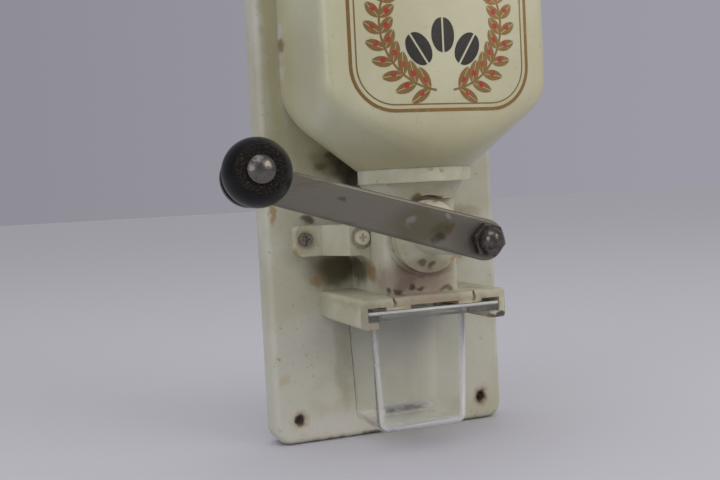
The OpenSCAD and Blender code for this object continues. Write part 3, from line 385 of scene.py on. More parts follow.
for x in (-HOLE_X, HOLE_X):
    for z in (-HOLE_Z, HOLE_Z):
        board_stains_and_shade.append(((x, 0, z), (6.2, 20, 7), "#8d6f4c", 0.55))
        board_stains_and_shade.append(((x, 0, z), (4.2, 20, 4.2), "#2c1a0c", 0.95))

# Brushed paint is matt and softly uneven. Real brush marks are too fine to show: these are wider
board_paint = worn_paint(
    "brushed_paint_on_wood", tones=("#aba894", "#b7b6a9"), cloud_mm=42, fleck="#857d62",
    bare="#5f4d35", wear=0.8, stains_and_shade=board_stains_and_shade, roughness=0.55, coat=0.05, skin_mm=5.0,
    skin_depth=0.25)
print(len(board_stains_and_shade), "stains on the board")

# %% [markdown]
# The hopper and its lid are pressed sheet steel with a baked cream enamel, thicker and glossier
# than the board's paint and a little more yellow. It has chips at its rear edge, small scratches
# under the front and a brown line where it meets the flange.

# %% Enamel of the hopper
hopper_stains_and_shade = [
    # Painted shade with some grease on the funnel's downward face, and the brown line at the flange
    ((0, 40, -44), (80, 80, 50), "#8b8358", 0.5),
    ((0, 40, -36.5), (31, 31, 2.6), "#5d4a2c", 0.75),
    # Chips down the rear edge of the left side
    ((-51, 3, 33), (4, 10, 5.5), "#c4c1be", 0.9),
    ((-51, 5, 25.5), (4, 9, 4.5), "#6b4a2e", 0.8),
    ((-51, 3, 20), (4, 9, 3.5), "#bdb9b4", 0.85),
    ((-51, 3, 13), (4, 9, 4.5), "#c4c1be", 0.85),
    # Scratches and dots under the front
    ((-0.5, 68, -20), (1.0, 9, 4), "#7a5b3c", 0.75),
    ((2.5, 64, -24), (1.0, 9, 3.4), "#6e4e33", 0.75),
    ((-23, 66, -19.5), (1.3, 9, 1.1), "#7a6242", 0.7),
    ((-13, 70, -17.8), (1.2, 9, 1.0), "#7a6242", 0.7),
    # Yellowing at the left front corner and on the left side
    ((-46, 62, 2), (6, 12, 12), "#9a946c", 0.5),
    ((-54, 36, 10), (10, 50, 34), "#948d62", 0.35),
]

# Baked enamel is smooth and glossy: broad highlights with only a slow wave in them
hopper_enamel = worn_paint(
    "baked_cream_enamel", tones=("#afac8e", "#b8b69a"), cloud_mm=55, fleck="#9b9474",
    bare="#8d8260", wear=0.5, stains_and_shade=hopper_stains_and_shade, roughness=0.34, coat=0.35, skin_mm=16.0,
    skin_depth=0.06)
print(len(hopper_stains_and_shade), "stains on the hopper")

# %% [markdown]
# The mill's body, its cap and the two rails are castings. Their paint is whiter and chalkier,
# rust comes through it in small spots, and coffee has stained the front of the foot a dull pink.
# The four wing screws sit at the shaft's height, and rust or dirt rings each of them.

# %% Paint of the castings
SHAFT_Z, OUTER_SCREW_X, INNER_SCREW_X = -68.0, 45.5, 22.5
casting_stains_and_shade = [
    # Painted olive shade under the flange, rust above the cap, and dots on the flange
    ((5, 54, -49), (24, 26, 6), "#8a7c4c", 0.3),
    ((-6, 57, -50), (3.4, 8, 2.6), "#5f3c1c", 0.85),
    ((4.5, 57, -51.5), (4.6, 8, 2.0), "#6b4422", 0.8),
    ((-4, 66, -38), (1.6, 5, 1.2), "#8f7450", 0.6),
    ((2, 66, -38), (2.0, 5, 1.4), "#8a6e4c", 0.6),
    # Painted shade and brown grime on the left side of the body, under the wing
    ((-18.5, 8, -84), (4, 24, 10), "#443a22", 0.85),
    ((-18.5, 27, -85), (4, 9, 7), "#7d5f30", 0.75),
    # The foot: dull pink, painted shade under the cap, and dark specks where it meets the plate
    ((-5, 44, -88), (27, 20, 12), "#806a61", 0.75),
    ((0, 47, -84), (17, 10, 4), "#6b5a50", 0.6),
    ((0, 47, -80), (22, 14, 8.5), "#6c5c41", 0.75),
    ((-10, 48, -89.5), (6, 8, 4), "#6e5850", 0.6),
    ((-18.9, 47, -93), (3.4, 6, 2.2), "#2a1d16", 0.9),
    ((-12.9, 47, -93), (3.4, 6, 2.2), "#33241c", 0.9),
    ((-6.6, 47, -92), (2.2, 6, 2.6), "#33241c", 0.9),
    ((-2, 47, -93.2), (3.4, 6, 1.8), "#3a2a22", 0.8),
    ((10, 47, -93), (4.4, 6, 1.8), "#4a382e", 0.75),
    ((-15, 54, -92), (10, 9, 4), "#7b6b60", 0.5),
    # The cap: grey to the left, with rust spots along its lower edge
    ((-17, 62, -70), (11, 16, 16), "#857f62", 0.5),
    ((-14.3, 58, -78.7), (3.2, 8, 1.6), "#94703e", 0.6),
    ((-5.2, 55, -79.5), (3.0, 6, 2.5), "#5f4828", 0.85),
    ((0.7, 55, -81.5), (3.2, 6, 2.7), "#54401f", 0.9),
    ((12.1, 53, -79.4), (2.6, 6, 3.0), "#a5764a", 0.7),
    # The plate and the rails: worn front edges, rust to the right, dark joints
    ((24, 46, -91.8), (9, 10, 4), "#876536", 0.75),
    ((0, 58, -96.5), (24, 6, 7), "#8c7d6c", 0.65),
    ((-32, 58, -103), (12, 4, 12), "#857e6a", 0.75),
    ((28, 58, -101.5), (8, 6, 4.5), "#55361f", 0.85),
    ((32, 58, -107.4), (8, 5, 2.6), "#35312d", 0.95),
    ((-20, 57, -96.5), (1.3, 6, 4), "#271b13", 0.95),
    ((20, 57, -96.5), (1.3, 6, 4), "#271b13", 0.95),
    ((0, 40, -98), (60, 60, 3), "#8c7656", 0.45),
]
for side in (-1, 1):
    casting_stains_and_shade += [
        ((side * OUTER_SCREW_X, 9, SHAFT_Z), (8, 6, 8), "#8d7551", 0.5),
        ((side * 49, 4, -74), (8, 8, 3), "#8a6534", 0.6),
        ((side * INNER_SCREW_X, 26, SHAFT_Z), (7.4, 4, 7.4), "#95815f", 0.5),
    ]

# Paint on a rough casting is chalky, and the grain of the mould shows through it
casting_paint = worn_paint(
    "chalky_paint_on_casting", tones=("#b7b5a2", "#aaa78e"), cloud_mm=24, fleck="#8a7c5c",
    bare="#7d6440", wear=0.8, stains_and_shade=casting_stains_and_shade, roughness=0.5, coat=0.1, skin_mm=3.5,
    skin_depth=0.12)
# The inner screws were painted over, so their heads are cream too
screw_paint = worn_paint(
    "paint_over_screw_heads", tones=("#d2ccb8", "#c5bea6"), cloud_mm=6, fleck="#8a7a5c",
    bare="#8a7350", wear=0.5, stains_and_shade=[], roughness=0.45, coat=0.2, skin_mm=3.0, skin_depth=0.08)
print(len(casting_stains_and_shade), "stains on the castings")

# %% [markdown]
# ## Metals
# Plain steel that has been handled for years is neither bright nor evenly grey: grease has dulled
# it, rust flecks it, and fine scratches run along it. A metal could be one colour with a low
# roughness, but then it looks new. So all the bare metals come from one function, with a colour,
# a tarnish that lies over it in patches and is duller than the metal, and a relief. Stains can
# lie on top.

# %% The bare metal function
GREASE_FRAY = 4.0


def bare_metal(name, tone, tarnish, patch_mm, cover, metallic, roughness, relief,
               stretch=(1, 1, 1), turn=0.0, stains_and_shade=()):
    """Handled metal: a tone, a tarnish in patches, stains, uneven gloss and some relief."""
    material, tree, shader, place = start(name)
    laid = add(tree, "Mapping", {"Vector": place, "Rotation": (0, turn, 0), "Scale": stretch})
    patches = add(tree, "TexNoise", {"Vector": laid, "Scale": 1 / (patch_mm * MM), "Detail": 6.0,
                                     "Roughness": 0.65})
    covered = add(tree, "MapRange", {"Value": patches, "From Min": 0.62 - 0.3 * cover,
                                     "From Max": 0.78 - 0.3 * cover})
    colour = add(tree, "Mix", {0: covered, UNDER: linear(tone), OVER: linear(tarnish)},
                 data_type="RGBA")
    colour = stains_and_shade_over(tree, place, colour, stains_and_shade, GREASE_FRAY)
    shine = add(tree, "MapRange", {"Value": covered, "To Min": metallic,
                                   "To Max": 0.35 * metallic})
    dull = add(tree, "MapRange", {"Value": covered, "To Min": roughness,
                                  "To Max": roughness + 0.3})
    grain = add(tree, "TexNoise", {"Vector": laid, "Scale": 1 / (0.25 * patch_mm * MM),
                                   "Detail": 4.0})
    bump = add(tree, "Bump", {"Height": grain, "Strength": 0.6, "Distance": relief * MM})
    fill(tree, shader, {"Base Color": colour, "Metallic": shine, "Roughness": dull,
                        "Normal": bump})
    return material


# Screw steel that has lost its plating: grey, rough, with brown rust in small patches
rusted_steel = bare_metal("rusted_screw_steel", "#7c7870", "#5c4630", patch_mm=2.0, cover=0.45,
                          metallic=0.8, roughness=0.45, relief=0.12)
# Rolled steel of the shaft, the hinge and the small screws: a plain satin grey
plain_steel = bare_metal("plain_steel", "#9a9792", "#5f5546", patch_mm=6.0, cover=0.25,
                         metallic=0.9, roughness=0.38, relief=0.04)
# Hard cast iron of the burrs: dark, with a fine grain
burr_iron = bare_metal("hard_cast_iron", "#6a6864", "#3f3a34", patch_mm=3.0, cover=0.5,
                       metallic=0.85, roughness=0.5, relief=0.08)
# Bearing bronze, bored and oiled: smooth and yellow-brown
bush_bronze = bare_metal("bearing_bronze", "#b08a4e", "#6f5730", patch_mm=5.0, cover=0.3,
                         metallic=0.95, roughness=0.3, relief=0.03)
# Nickel plate under old grease: small bright lights in a nearly black metal
nut_nickel = bare_metal("worn_nickel_plate", "#66615c", "#241e19", patch_mm=3.0, cover=0.6,
                        metallic=1.0, roughness=0.16, relief=0.10)
# Nickel plate that the palm keeps clean: an even, soft shine
head_nickel = bare_metal("rubbed_nickel_plate", "#6d6963", "#3f3a34", patch_mm=1.6, cover=0.35,
                         metallic=1.0, roughness=0.24, relief=0.05)
print("six bare metals")

# %% [markdown]
# The crank arm is a flat steel bar, ground lengthways. Its noise is stretched along the bar,
# which leans upward to the left, so the scratches run from the shaft to the knob. Old grease sits
# near the shaft, with bright places where the steel has been knocked.

# %% Ground steel of the crank arm
ARM_LEAN = math.radians(16.5)
ARM_FACE = 110.0
arm_stains = [
    # Grease from the shaft outward
    ((-29, ARM_FACE, -60), (22, 8, 11), "#5d563f", 0.6),
    ((-21, ARM_FACE, -62), (7, 8, 4.5), "#4d4530", 0.5),
    ((-22, ARM_FACE, -66), (4, 8, 3), "#332a19", 0.7),
    ((-17, ARM_FACE, -62), (3, 8, 2), "#5a4528", 0.45),
    # Bright knocks
    ((-32.2, ARM_FACE, -58.8), (4.5, 8, 2.2), "#8d8d8c", 0.6),
    ((-16.4, ARM_FACE, -57), (1.2, 8, 2.4), "#9a9996", 0.6),
    # Dark specks towards the knob, and a dull ring round the nut
    ((-62, ARM_FACE, -48), (2, 8, 1.5), "#4d4238", 0.6),
    ((-84, ARM_FACE, -40), (3, 8, 2), "#5c5348", 0.4),
    ((-8, ARM_FACE, -66), (10, 8, 10), "#57514a", 0.5),
]

# Ground steel shows long streaks. Real ones are too fine for this render, so these are wider
arm_steel = bare_metal("ground_steel_bar", "#77736a", "#5b5648", patch_mm=9.0, cover=0.4,
                       metallic=0.9, roughness=0.42, relief=0.03, stretch=(0.12, 1, 1),
                       turn=-ARM_LEAN, stains_and_shade=arm_stains)
print("the arm's scratches lean", round(math.degrees(ARM_LEAN), 1), "degrees")

# %% [markdown]
# ## The knob
# The knob is turned wood under black lacquer, glossy round its side. Its flat front has rubbed
# against many palms: there the lacquer is gone and brown wood shows in specks. The front could be
# a face with a material of its own, but its border would be a clean ring. So it is told apart by
# its distance along the spindle, which leans upward and away from the shaft, and a noise makes
# that border ragged.

# %% Black lacquer of the knob
LEAN, SWAY = math.radians(5.5), math.radians(5)
RAG_MM, SPECK_MM = 1.6, 0.55

spindle = Vector((-math.cos(LEAN) * math.sin(SWAY), -math.cos(LEAN) * math.cos(SWAY),
                  math.sin(LEAN)))
knob_front = max(Vector(v.co).dot(spindle) for v in nodes["crank_knob"].data.vertices)

knob_black, tree, shader, place = start("black_lacquer_on_beech")
along = add(tree, "VectorMath", {0: place, 1: spindle}, operation="DOT_PRODUCT")
rag = add(tree, "TexNoise", {"Vector": place, "Scale": 1 / (RAG_MM * MM), "Detail": 5.0,
                             "Roughness": 0.7})
rag = add(tree, "MapRange", {"Value": rag, "To Min": -0.9 * MM, "To Max": 0.7 * MM})
along = add(tree, "Math", {0: along, 1: rag}, operation="ADD")
worn = add(tree, "MapRange", {"Value": along, "From Min": knob_front - 0.75 * MM,
                              "From Max": knob_front - 0.45 * MM})
specks = add(tree, "TexNoise", {"Vector": place, "Scale": 1 / (SPECK_MM * MM), "Detail": 4.0})
specks = add(tree, "MapRange", {"Value": specks, "From Min": 0.5, "From Max": 0.75})
wood = add(tree, "Mix", {0: specks, UNDER: linear("#0e0c0b"), OVER: linear("#43382e")},
           data_type="RGBA")
colour = add(tree, "Mix", {0: worn, UNDER: linear("#070708"), OVER: wood}, data_type="RGBA")
dull = add(tree, "MapRange", {"Value": worn, "To Min": 0.3, "To Max": 0.85})
pits = add(tree, "Math", {0: worn, 1: specks}, operation="MULTIPLY")
bump = add(tree, "Bump", {"Height": pits, "Strength": 0.7, "Distance": 0.25 * MM})
fill(tree, shader, {"Base Color": colour, "Roughness": dull, "Normal": bump,
                    "Specular IOR Level": 0.22})
print("knob front lies", round(knob_front / MM, 1), "mm along the spindle")

# %% [markdown]
# ## The cup
# The cup is clear moulded plastic, a box with soft corners whose wide rim slides in the rails.
# Clear plastic is mostly seen by its edges: along the front they glow white, because light runs
# through the walls and comes out where the plastic is scuffed. Tracing that light would take very
# many rays. So the glow is painted on in white, and the distance to a line round the front, down
# one side, across the bottom and up the other, says where. The cup widens upward, and the line
# follows it.

# %% How far the plastic lies from the cup's front edge
CUP_HALF, CUP_FRONT, CUP_LOW = 23.0, 40.5, -160.8
CUP_TAPER = 1.5 / 58.5
EDGE_R, EDGE_IN = 5.0, 1.3

cup_plastic, tree, shader, place = start("clear_moulded_plastic")
axes = add(tree, "SeparateXYZ", {0: place}).outputs
rise = add(tree, "Math", {0: axes["Z"], 1: CUP_LOW * MM}, operation="SUBTRACT")
spread = add(tree, "Math", {0: rise, 1: CUP_TAPER}, operation="MULTIPLY")
across = add(tree, "Math", {0: axes["X"]}, operation="ABSOLUTE")
across = add(tree, "Math", {0: across, 1: spread}, operation="SUBTRACT")
past = add(tree, "CombineXYZ", {"X": across, "Y": rise})
past = add(tree, "VectorMath", {0: past, 1: (1, -1, 0),
                                2: ((EDGE_R - CUP_HALF) * MM, EDGE_R * MM, 0)},
           operation="MULTIPLY_ADD")
past = add(tree, "VectorMath", {0: past, 1: (0, 0, 0)}, operation="MAXIMUM")
past = add(tree, "VectorMath", {0: past}, operation="LENGTH")
aside = add(tree, "Math", {0: past, 1: (EDGE_R - EDGE_IN) * MM}, operation="SUBTRACT")
behind = add(tree, "Math", {0: axes["Y"], 1: spread}, operation="SUBTRACT")
behind = add(tree, "Math", {0: behind, 1: (CUP_FRONT - EDGE_IN) * MM - BOARD_FACE},
             operation="ADD")
apart = add(tree, "CombineXYZ", {"X": aside, "Y": behind})
apart = add(tree, "VectorMath", {0: apart}, operation="LENGTH")
print("the cup's front edge runs", EDGE_IN, "mm inside its corner")

# %% [markdown]
# The painted glow is wider and brighter towards the right, where the window is. The rim's front
# strip is whitened as well, most of all on its upper edge. A dark line lies along the back of the
# floor, and the floor is a little milky.

# %% Painted edge glow, whitened strip, dark back line and haze
GLOW_HALF, STRIP_OUT, HAZE_MM = 20, 54.4, 14

# The front edges get a painted white glow, stronger towards the window on the right
wide = add(tree, "MapRange", {"Value": axes["X"], "From Min": -GLOW_HALF * MM,
                              "From Max": GLOW_HALF * MM, "To Min": 2.2 * MM, "To Max": 3.8 * MM})
window_glow = add(tree, "MapRange", {"Value": axes["X"], "From Min": -GLOW_HALF * MM, "From Max": 0.0,
                             "To Min": 0.45})
near = add(tree, "Math", {0: apart, 1: wide}, operation="DIVIDE")
edge = add(tree, "MapRange", {"Value": near, "From Min": 1.0, "From Max": 0.45, "To Max": window_glow},
           interpolation_type="SMOOTHSTEP")

cup_top = max(v.co.z for v in nodes["grounds_cup"].data.vertices)
strip = add(tree, "MapRange", {"Value": axes["Y"], "From Min": BOARD_FACE - STRIP_OUT * MM,
                               "From Max": BOARD_FACE - (STRIP_OUT + 1) * MM})
crest = add(tree, "MapRange", {"Value": axes["Z"], "From Min": cup_top - 1.4 * MM,
                               "From Max": cup_top - 0.6 * MM, "To Min": 0.12, "To Max": 0.9})
strip = add(tree, "Math", {0: strip, 1: crest}, operation="MULTIPLY")
glow_and_strip = add(tree, "Math", {0: edge, 1: strip}, operation="MAXIMUM")

line_place = frayed(tree, place, 1.0)
dark_back_line = add(tree, "Math", {0: spot(tree, line_place, (6, 3.5, -157.6), (20, 7, 4.0), 1.0),
                             1: spot(tree, line_place, (-4, 3.5, -157.8), (9, 7, 4.4), 1.0)},
              operation="MAXIMUM")
milky = add(tree, "MapRange", {"Value": rise, "From Min": 1 * MM, "From Max": 5 * MM,
                               "To Min": 0.07, "To Max": 0.03})
haze = add(tree, "TexNoise", {"Vector": place, "Scale": 1 / (HAZE_MM * MM), "Detail": 4.0})
print("cup rim at z =", round(cup_top / MM, 1), "mm")

# %% [markdown]
# Now the plastic is put together. Where the glow, the whitened strip or the dark line is painted,
# it lets less light through and is rougher. A glass shader casts a dark shadow, so shadow rays take
# another way and pass almost straight through.

# %% Clear plastic of the cup
PLASTIC_IOR = 1.49

colour = add(tree, "Mix", {0: haze, UNDER: linear("#fdfdfb"), OVER: linear("#f3f3ef")},
             data_type="RGBA")
# The dark back line, then the painted white glow along the front edges
for cover, code in ((dark_back_line, "#2a2723"), (edge, "#e9e9ea")):
    colour = add(tree, "Mix", {0: cover, UNDER: colour, OVER: linear(code)}, data_type="RGBA")

solid = milky
for cover, strength in ((glow_and_strip, 0.6), (dark_back_line, 0.95)):
    cover = add(tree, "Math", {0: cover, 1: strength}, operation="MULTIPLY")
    solid = add(tree, "Math", {0: solid, 1: cover}, operation="MAXIMUM")
through = add(tree, "Math", {0: 1.0, 1: solid}, operation="SUBTRACT")

scuffs = add(tree, "MapRange", {"Value": haze, "From Min": 0.4, "From Max": 0.7, "To Min": 0.03,
                                "To Max": 0.12})
rough = add(tree, "Math", {0: glow_and_strip, 1: dark_back_line}, operation="MAXIMUM")
rough = add(tree, "Math", {0: rough, 1: 0.4, 2: scuffs}, operation="MULTIPLY_ADD")
fill(tree, shader, {"Base Color": colour, "Transmission Weight": through, "Roughness": rough,
                    "IOR": PLASTIC_IOR})

shadow = add(tree, "LightPath").outputs["Is Shadow Ray"]
clear = add(tree, "BsdfTransparent", {"Color": linear("#fbfbfa")})
passing = add(tree, "MixShader", {0: shadow, 1: shader, 2: clear})
fill(tree, next(n for n in tree.nodes if n.type == "OUTPUT_MATERIAL"), {"Surface": passing})
print("cup plastic has", len(tree.nodes), "nodes")

# %% [markdown]
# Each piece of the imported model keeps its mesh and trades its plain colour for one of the
# finishes. The table goes by piece, because the pieces of one material slot can age in different
# ways: the outer screws rust while the inner ones are painted over. The hopper's shell and the
# crank's nut are left out here, because the next steps make them again.

# %% Give the pieces their finishes
finishes = {
    board_paint: ["back_board"],
    hopper_enamel: ["hopper_lid"],
    casting_paint: ["mill_body", "front_cap", "left_cup_rail", "right_cup_rail"],
    screw_paint: ["inner_wing_screws"],
    rusted_steel: ["outer_wing_screws", "hopper_board_screws"],
    plain_steel: ["hopper_floor_screws", "lid_hinge_leaf", "lid_rivets", "board_hinge_leaf",
                  "hinge_leaf_screws", "hinge_pin", "rear_bearing_plate", "rear_plate_screws",
                  "outer_burr_screw", "thrust_washer", "drive_shaft", "drive_pins",
                  "rail_screws"],
    burr_iron: ["outer_burr", "inner_burr", "feed_worm"],
    bush_bronze: ["rear_bush", "front_bush"],
    nut_nickel: ["adjusting_nut"],
    head_nickel: ["knob_spindle"],
    arm_steel: ["crank_arm"],
    knob_black: ["crank_knob"],
    cup_plastic: ["grounds_cup"],
}
for finish, names in finishes.items():
    for name in names:
        slots = nodes[name].data.materials
        slots.clear()
        slots.append(finish)
left_out = sorted(set(nodes) - {n for names in finishes.values() for n in names})
print("made again below:", left_out)

# %% [markdown]
# ## The hopper's soft bend
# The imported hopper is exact, so its upright walls meet the funnel in a crisp line. On the real
# one the sheet was pressed over a round former, and the bend is rolled: it catches a broad band
# of light that runs low in the middle of each wall and climbs to the corners. A bevel of one
# width can't follow that line through the corners. So the shell is made again here, on the same
# plan and the same funnel, with an arc let in between them. First comes the plan, walked once
# round: flat back, slanted sides, small corners and a gently bowed front.

# %% Walk round the hopper's plan
BACK_HALF, FLARE = 51.0, math.radians(2.5)
FRONT_OUT, BOW_R, CORNER_R = 78.0, 324.0, 5.0

side_way = Vector((math.sin(FLARE), math.cos(FLARE)))
side_face = Vector((math.cos(FLARE), -math.sin(FLARE)))
back_corner = Vector((BACK_HALF, 0))
bow_mid = Vector((0, FRONT_OUT - BOW_R))
start_in = back_corner - CORNER_R * side_face - bow_mid
drift = start_in.dot(side_way)
side_l = math.sqrt(drift ** 2 - start_in.length_squared + (BOW_R - CORNER_R) ** 2) - drift
corner = bow_mid + start_in + side_l * side_way
swing = math.atan2(corner.y - bow_mid.y, corner.x)


def stepped(a, b, steps):
    """Points from a to just before b."""
    return [a.lerp(b, i / steps) for i in range(steps)]


def swept(mid, radius, begin, end, steps):
    """Points on an arc, to just before its end."""
    turns = [begin + (end - begin) * i / steps for i in range(steps)]
    return [mid + radius * Vector((math.cos(t), math.sin(t))) for t in turns]


walk = (stepped(Vector((0, 0)), back_corner, 10)
        + stepped(back_corner, corner + CORNER_R * side_face, 14)
        + swept(corner, CORNER_R, -FLARE, swing, 10)
        + swept(bow_mid, BOW_R, swing, math.pi / 2, 18))
walk += [Vector((0, FRONT_OUT))] + [Vector((-p.x, p.y)) for p in reversed(walk[1:])]
print(len(walk), "points round the plan, widest at", round(2 * max(p.x for p in walk), 1), "mm")

# %% [markdown]
# Each point of the plan gives one line down the wall: straight from the rim, round the bend,
# along the funnel to the neck, and in under the floor to the feed opening.

# %% Lines down the wall
NECK_OUT, NECK_R, SPREAD = 40.0, 27.1, 1.2
RIM_Z, FLANGE_Z = 119.5, -36.5
ROLL_R, BEND = 20.0, math.atan(SPREAD)
FEED_OUT, FEED_R = 31.0, 15.0
BEND_STEPS, FUNNEL_STEPS = 10, 4


def bend_top(reach):
    """The height at which a wall this far from the neck's middle starts to bend."""
    return FLANGE_Z + (reach - NECK_R) / SPREAD + ROLL_R * math.tan(BEND / 2)


def wall_line(point):
    """Places down the wall under one point of the plan, in millimetres."""
    spoke = point - Vector((0, NECK_OUT))
    reach, way = spoke.length, spoke.normalized()
    high = bend_top(reach)
    line = [(reach, RIM_Z), (reach, 80.0), (reach, 40.0), (reach, high + 6)]
    for i in range(BEND_STEPS + 1):
        turn = BEND * i / BEND_STEPS
        line.append((reach - ROLL_R * (1 - math.cos(turn)), high - ROLL_R * math.sin(turn)))
    low_r, low_z = line[-1]
    for i in range(1, FUNNEL_STEPS + 1):
        line.append((low_r + (NECK_R - low_r) * i / FUNNEL_STEPS,
                     low_z + (FLANGE_Z - low_z) * i / FUNNEL_STEPS))
    places = [(way.x * r, NECK_OUT + way.y * r, z) for r, z in line]
    return places + [(way.x * FEED_R, FEED_OUT + way.y * FEED_R, FLANGE_Z)]


wall_lines = [wall_line(p) for p in walk]
print(len(wall_lines[0]), "places down each line, the front bends from z =",
      round(bend_top(FRONT_OUT - NECK_OUT), 1), "mm")

# %% [markdown]
# A ring of vertices is laid on the first place of every line, and extruded once for each further
# place. A Solidify modifier then gives the surface the thickness of the sheet, inward from its
# outer face.

# %% Extrude the shell and give it the sheet's thickness
SHEET = 1.2


def skin(lines):
    """A surface through lines of places: a ring on the first ones, extruded to each further one."""
    form = bmesh.new()
    ring = bmesh.ops.create_circle(form, segments=len(lines), radius=1)["verts"]
    order = {v: i for i, v in enumerate(ring)}
    for v, i in order.items():
        v.co = at(*lines[i][0])
    rim = list(form.edges)
    for step in range(1, len(lines[0])):
        made = bmesh.ops.extrude_edge_only(form, edges=rim)["geom"]
        lower = {}
        for v in (g for g in made if isinstance(g, bmesh.types.BMVert)):
            above = next(e.other_vert(v) for e in v.link_edges if e.other_vert(v) in order)
            lower[v] = order[above]
        order = lower
        rim = [g for g in made if isinstance(g, bmesh.types.BMEdge)]
        for v, i in order.items():
            v.co = at(*lines[i][step])
    return form


shell_form = skin(wall_lines)
bmesh.ops.recalc_face_normals(shell_form, faces=shell_form.faces)
front_face = min(shell_form.faces, key=lambda f: f.calc_center_median().y)
if front_face.normal.y > 0:
    bmesh.ops.reverse_faces(shell_form, faces=shell_form.faces)

hopper = new_piece("hopper", shell_form, sharp=38)
hopper.data.materials.append(hopper_enamel)
sheet = hopper.modifiers.new("sheet", "SOLIDIFY")
sheet.thickness = SHEET * MM
sheet.offset = -1
sheet.use_even_offset = True
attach(hopper, "stand")
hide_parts("hopper_shell")
print("hopper has", len(hopper.data.polygons), "faces before its thickness")

# %% [markdown]
# ## The dome nut
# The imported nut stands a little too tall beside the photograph, and its corners reach past the
# arm's round end. This one is lower, with a chamfered hexagon and a dome that is narrower than
# its flats. A six-sided prism with a sphere on it would do from afar, but the chamfer catches the
# light. So the nut is skinned like the hopper: one line for each angle, from the arm's face up
# the flats, in over the chamfer and up the dome. The chamfer is where the hexagon gives way to a
# cone.

# %% Lines up the nut
FLATS, CORNER_AT, TURN_STEP = 12.6, 45, 5
NUT_H, CONE_R, CONE_SLOPE = 3.8, 6.1, 1.7
NUT_STEPS = (0, 2, 2.8, 3.0, 3.2, 3.4, 3.6, NUT_H)
DOME_R, DOME_FOOT, DOME_STEPS, CLIMB_STEP = 5.2, 4.4, 14, 6.75


def nut_line(turn):
    """Places up the nut at one angle in degrees, in millimetres."""
    hexagon = FLATS / 2 / math.cos(math.radians((turn - CORNER_AT) % 60 - 30))
    line = [(min(hexagon, CONE_R + CONE_SLOPE * (NUT_H - h)), h) for h in NUT_STEPS]
    line.append((DOME_R, NUT_H))
    for i in range(DOME_STEPS):
        climb = math.radians(CLIMB_STEP * i)
        line.append((DOME_R * math.cos(climb), DOME_FOOT + DOME_R * math.sin(climb)))
    way = math.cos(math.radians(turn)), math.sin(math.radians(turn))
    return [(r * way[0], ARM_FACE + h, SHAFT_Z + r * way[1]) for r, h in line]


nut_form = skin([nut_line(turn) for turn in range(0, 360, TURN_STEP)])
bmesh.ops.holes_fill(nut_form, edges=nut_form.edges)
bmesh.ops.recalc_face_normals(nut_form, faces=nut_form.faces)

dome_nut = new_piece("dome_nut", nut_form, sharp=28)
dome_nut.data.materials.append(nut_nickel)
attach(dome_nut, "crank")
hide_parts("crank_nut")
print("dome nut has", len(dome_nut.data.polygons), "faces")

# %% [markdown]
# ## The printed ornament
# A transfer print was fired on the hopper's front: a double line in bronze ink round the panel,
# and inside it two coffee twigs with leaves, red berries and black beans. It could be drawn by
# the enamel's nodes, but crisp curves are easier as meshes. The shapes are drawn flat with mesh
# operators, x across and z up. Then they are sliced, bent onto the bowed front, and given the
# thickness of a film of ink, so they follow the sheet from every side.

# %% The front that the print lies on
PANEL_HALF, PANEL_LOW, PANEL_HIGH, PANEL_CORNER = 43.0, -13.0, 101.0, 20.0
BRONZE, BLACK, RED = 0, 1, 2


def front_out(x):
    """How far the hopper's upright front stands out at x, in millimetres."""
    return bow_mid.y + math.sqrt(BOW_R * BOW_R - x * x)


print("front at the middle", round(front_out(0), 2), "mm, at the panel's side",
      round(front_out(PANEL_HALF), 2), "mm")

# %% [markdown]
# A frame line starts as a plain panel: its corners are bevelled round, its border is inset by the
# line's width, and the middle is taken away. A stem is a short edge, spun about the middle of its
# arc.

# %% Lines and stems
CORNER_STEPS, STEM_STEPS = 10, 20
STAND_UP = Matrix.Rotation(math.pi / 2, 3, "X")


def tint(verts, colour):
    """Gives the faces round some vertices one of the inks."""
    for face in {f for v in verts for f in v.link_faces}:
        face.material_index = colour


def frame_line(form, half_w, low, high, corner, width):
    """A line of the given width round a panel with round corners."""
    made = bmesh.ops.create_grid(form, x_segments=1, y_segments=1, size=1)["verts"]
    bmesh.ops.rotate(form, verts=made, cent=(0, 0, 0), matrix=STAND_UP)
    bmesh.ops.scale(form, verts=made, vec=(half_w, 1, (high - low) / 2))
    bmesh.ops.translate(form, verts=made, vec=(0, 0, (high + low) / 2))
    bmesh.ops.bevel(form, geom=made, offset=corner, offset_type="OFFSET", affect="VERTICES",
                    segments=CORNER_STEPS, profile=0.5, material=-1)
    # A finished line has four-sided faces only, so the panel is the one face with more sides
    panel = next(f for f in form.faces if len(f.verts) > 4)
    line = bmesh.ops.inset_region(form, faces=[panel], thickness=width, use_boundary=True,
                                  use_even_offset=True)["faces"]
    bmesh.ops.delete(form, geom=[panel], context="FACES_ONLY")
    for face in line:
        face.material_index = BRONZE


def stem(form, x, z, radius, width, begin, end):
    """An arc of stem, spun from a short edge about a centre."""
    before = set(form.verts)
    a = form.verts.new((radius - width / 2, 0, 0))
    b = form.verts.new((radius + width / 2, 0, 0))
    edge = form.edges.new((a, b))
    bmesh.ops.rotate(form, verts=[a, b], cent=(0, 0, 0), matrix=Matrix.Rotation(-begin, 3, "Y"))
    bmesh.ops.spin(form, geom=[a, b, edge], cent=(0, 0, 0), axis=(0, -1, 0), angle=end - begin,
                   steps=STEM_STEPS, use_merge=False)
    verts = [v for v in form.verts if v not in before]
    bmesh.ops.translate(form, verts=verts, vec=(x, 0, z))
    tint(verts, BRONZE)


print("a corner has", CORNER_STEPS, "steps, a stem", STEM_STEPS)

# %% [markdown]
# Leaves, berries and beans all start as rounds. A leaf and a bean are cut in two along their
# length, and the halves stand a little apart, so a leaf shows its rib and a bean its slit. A
# leaf's ends are also drawn in to points.

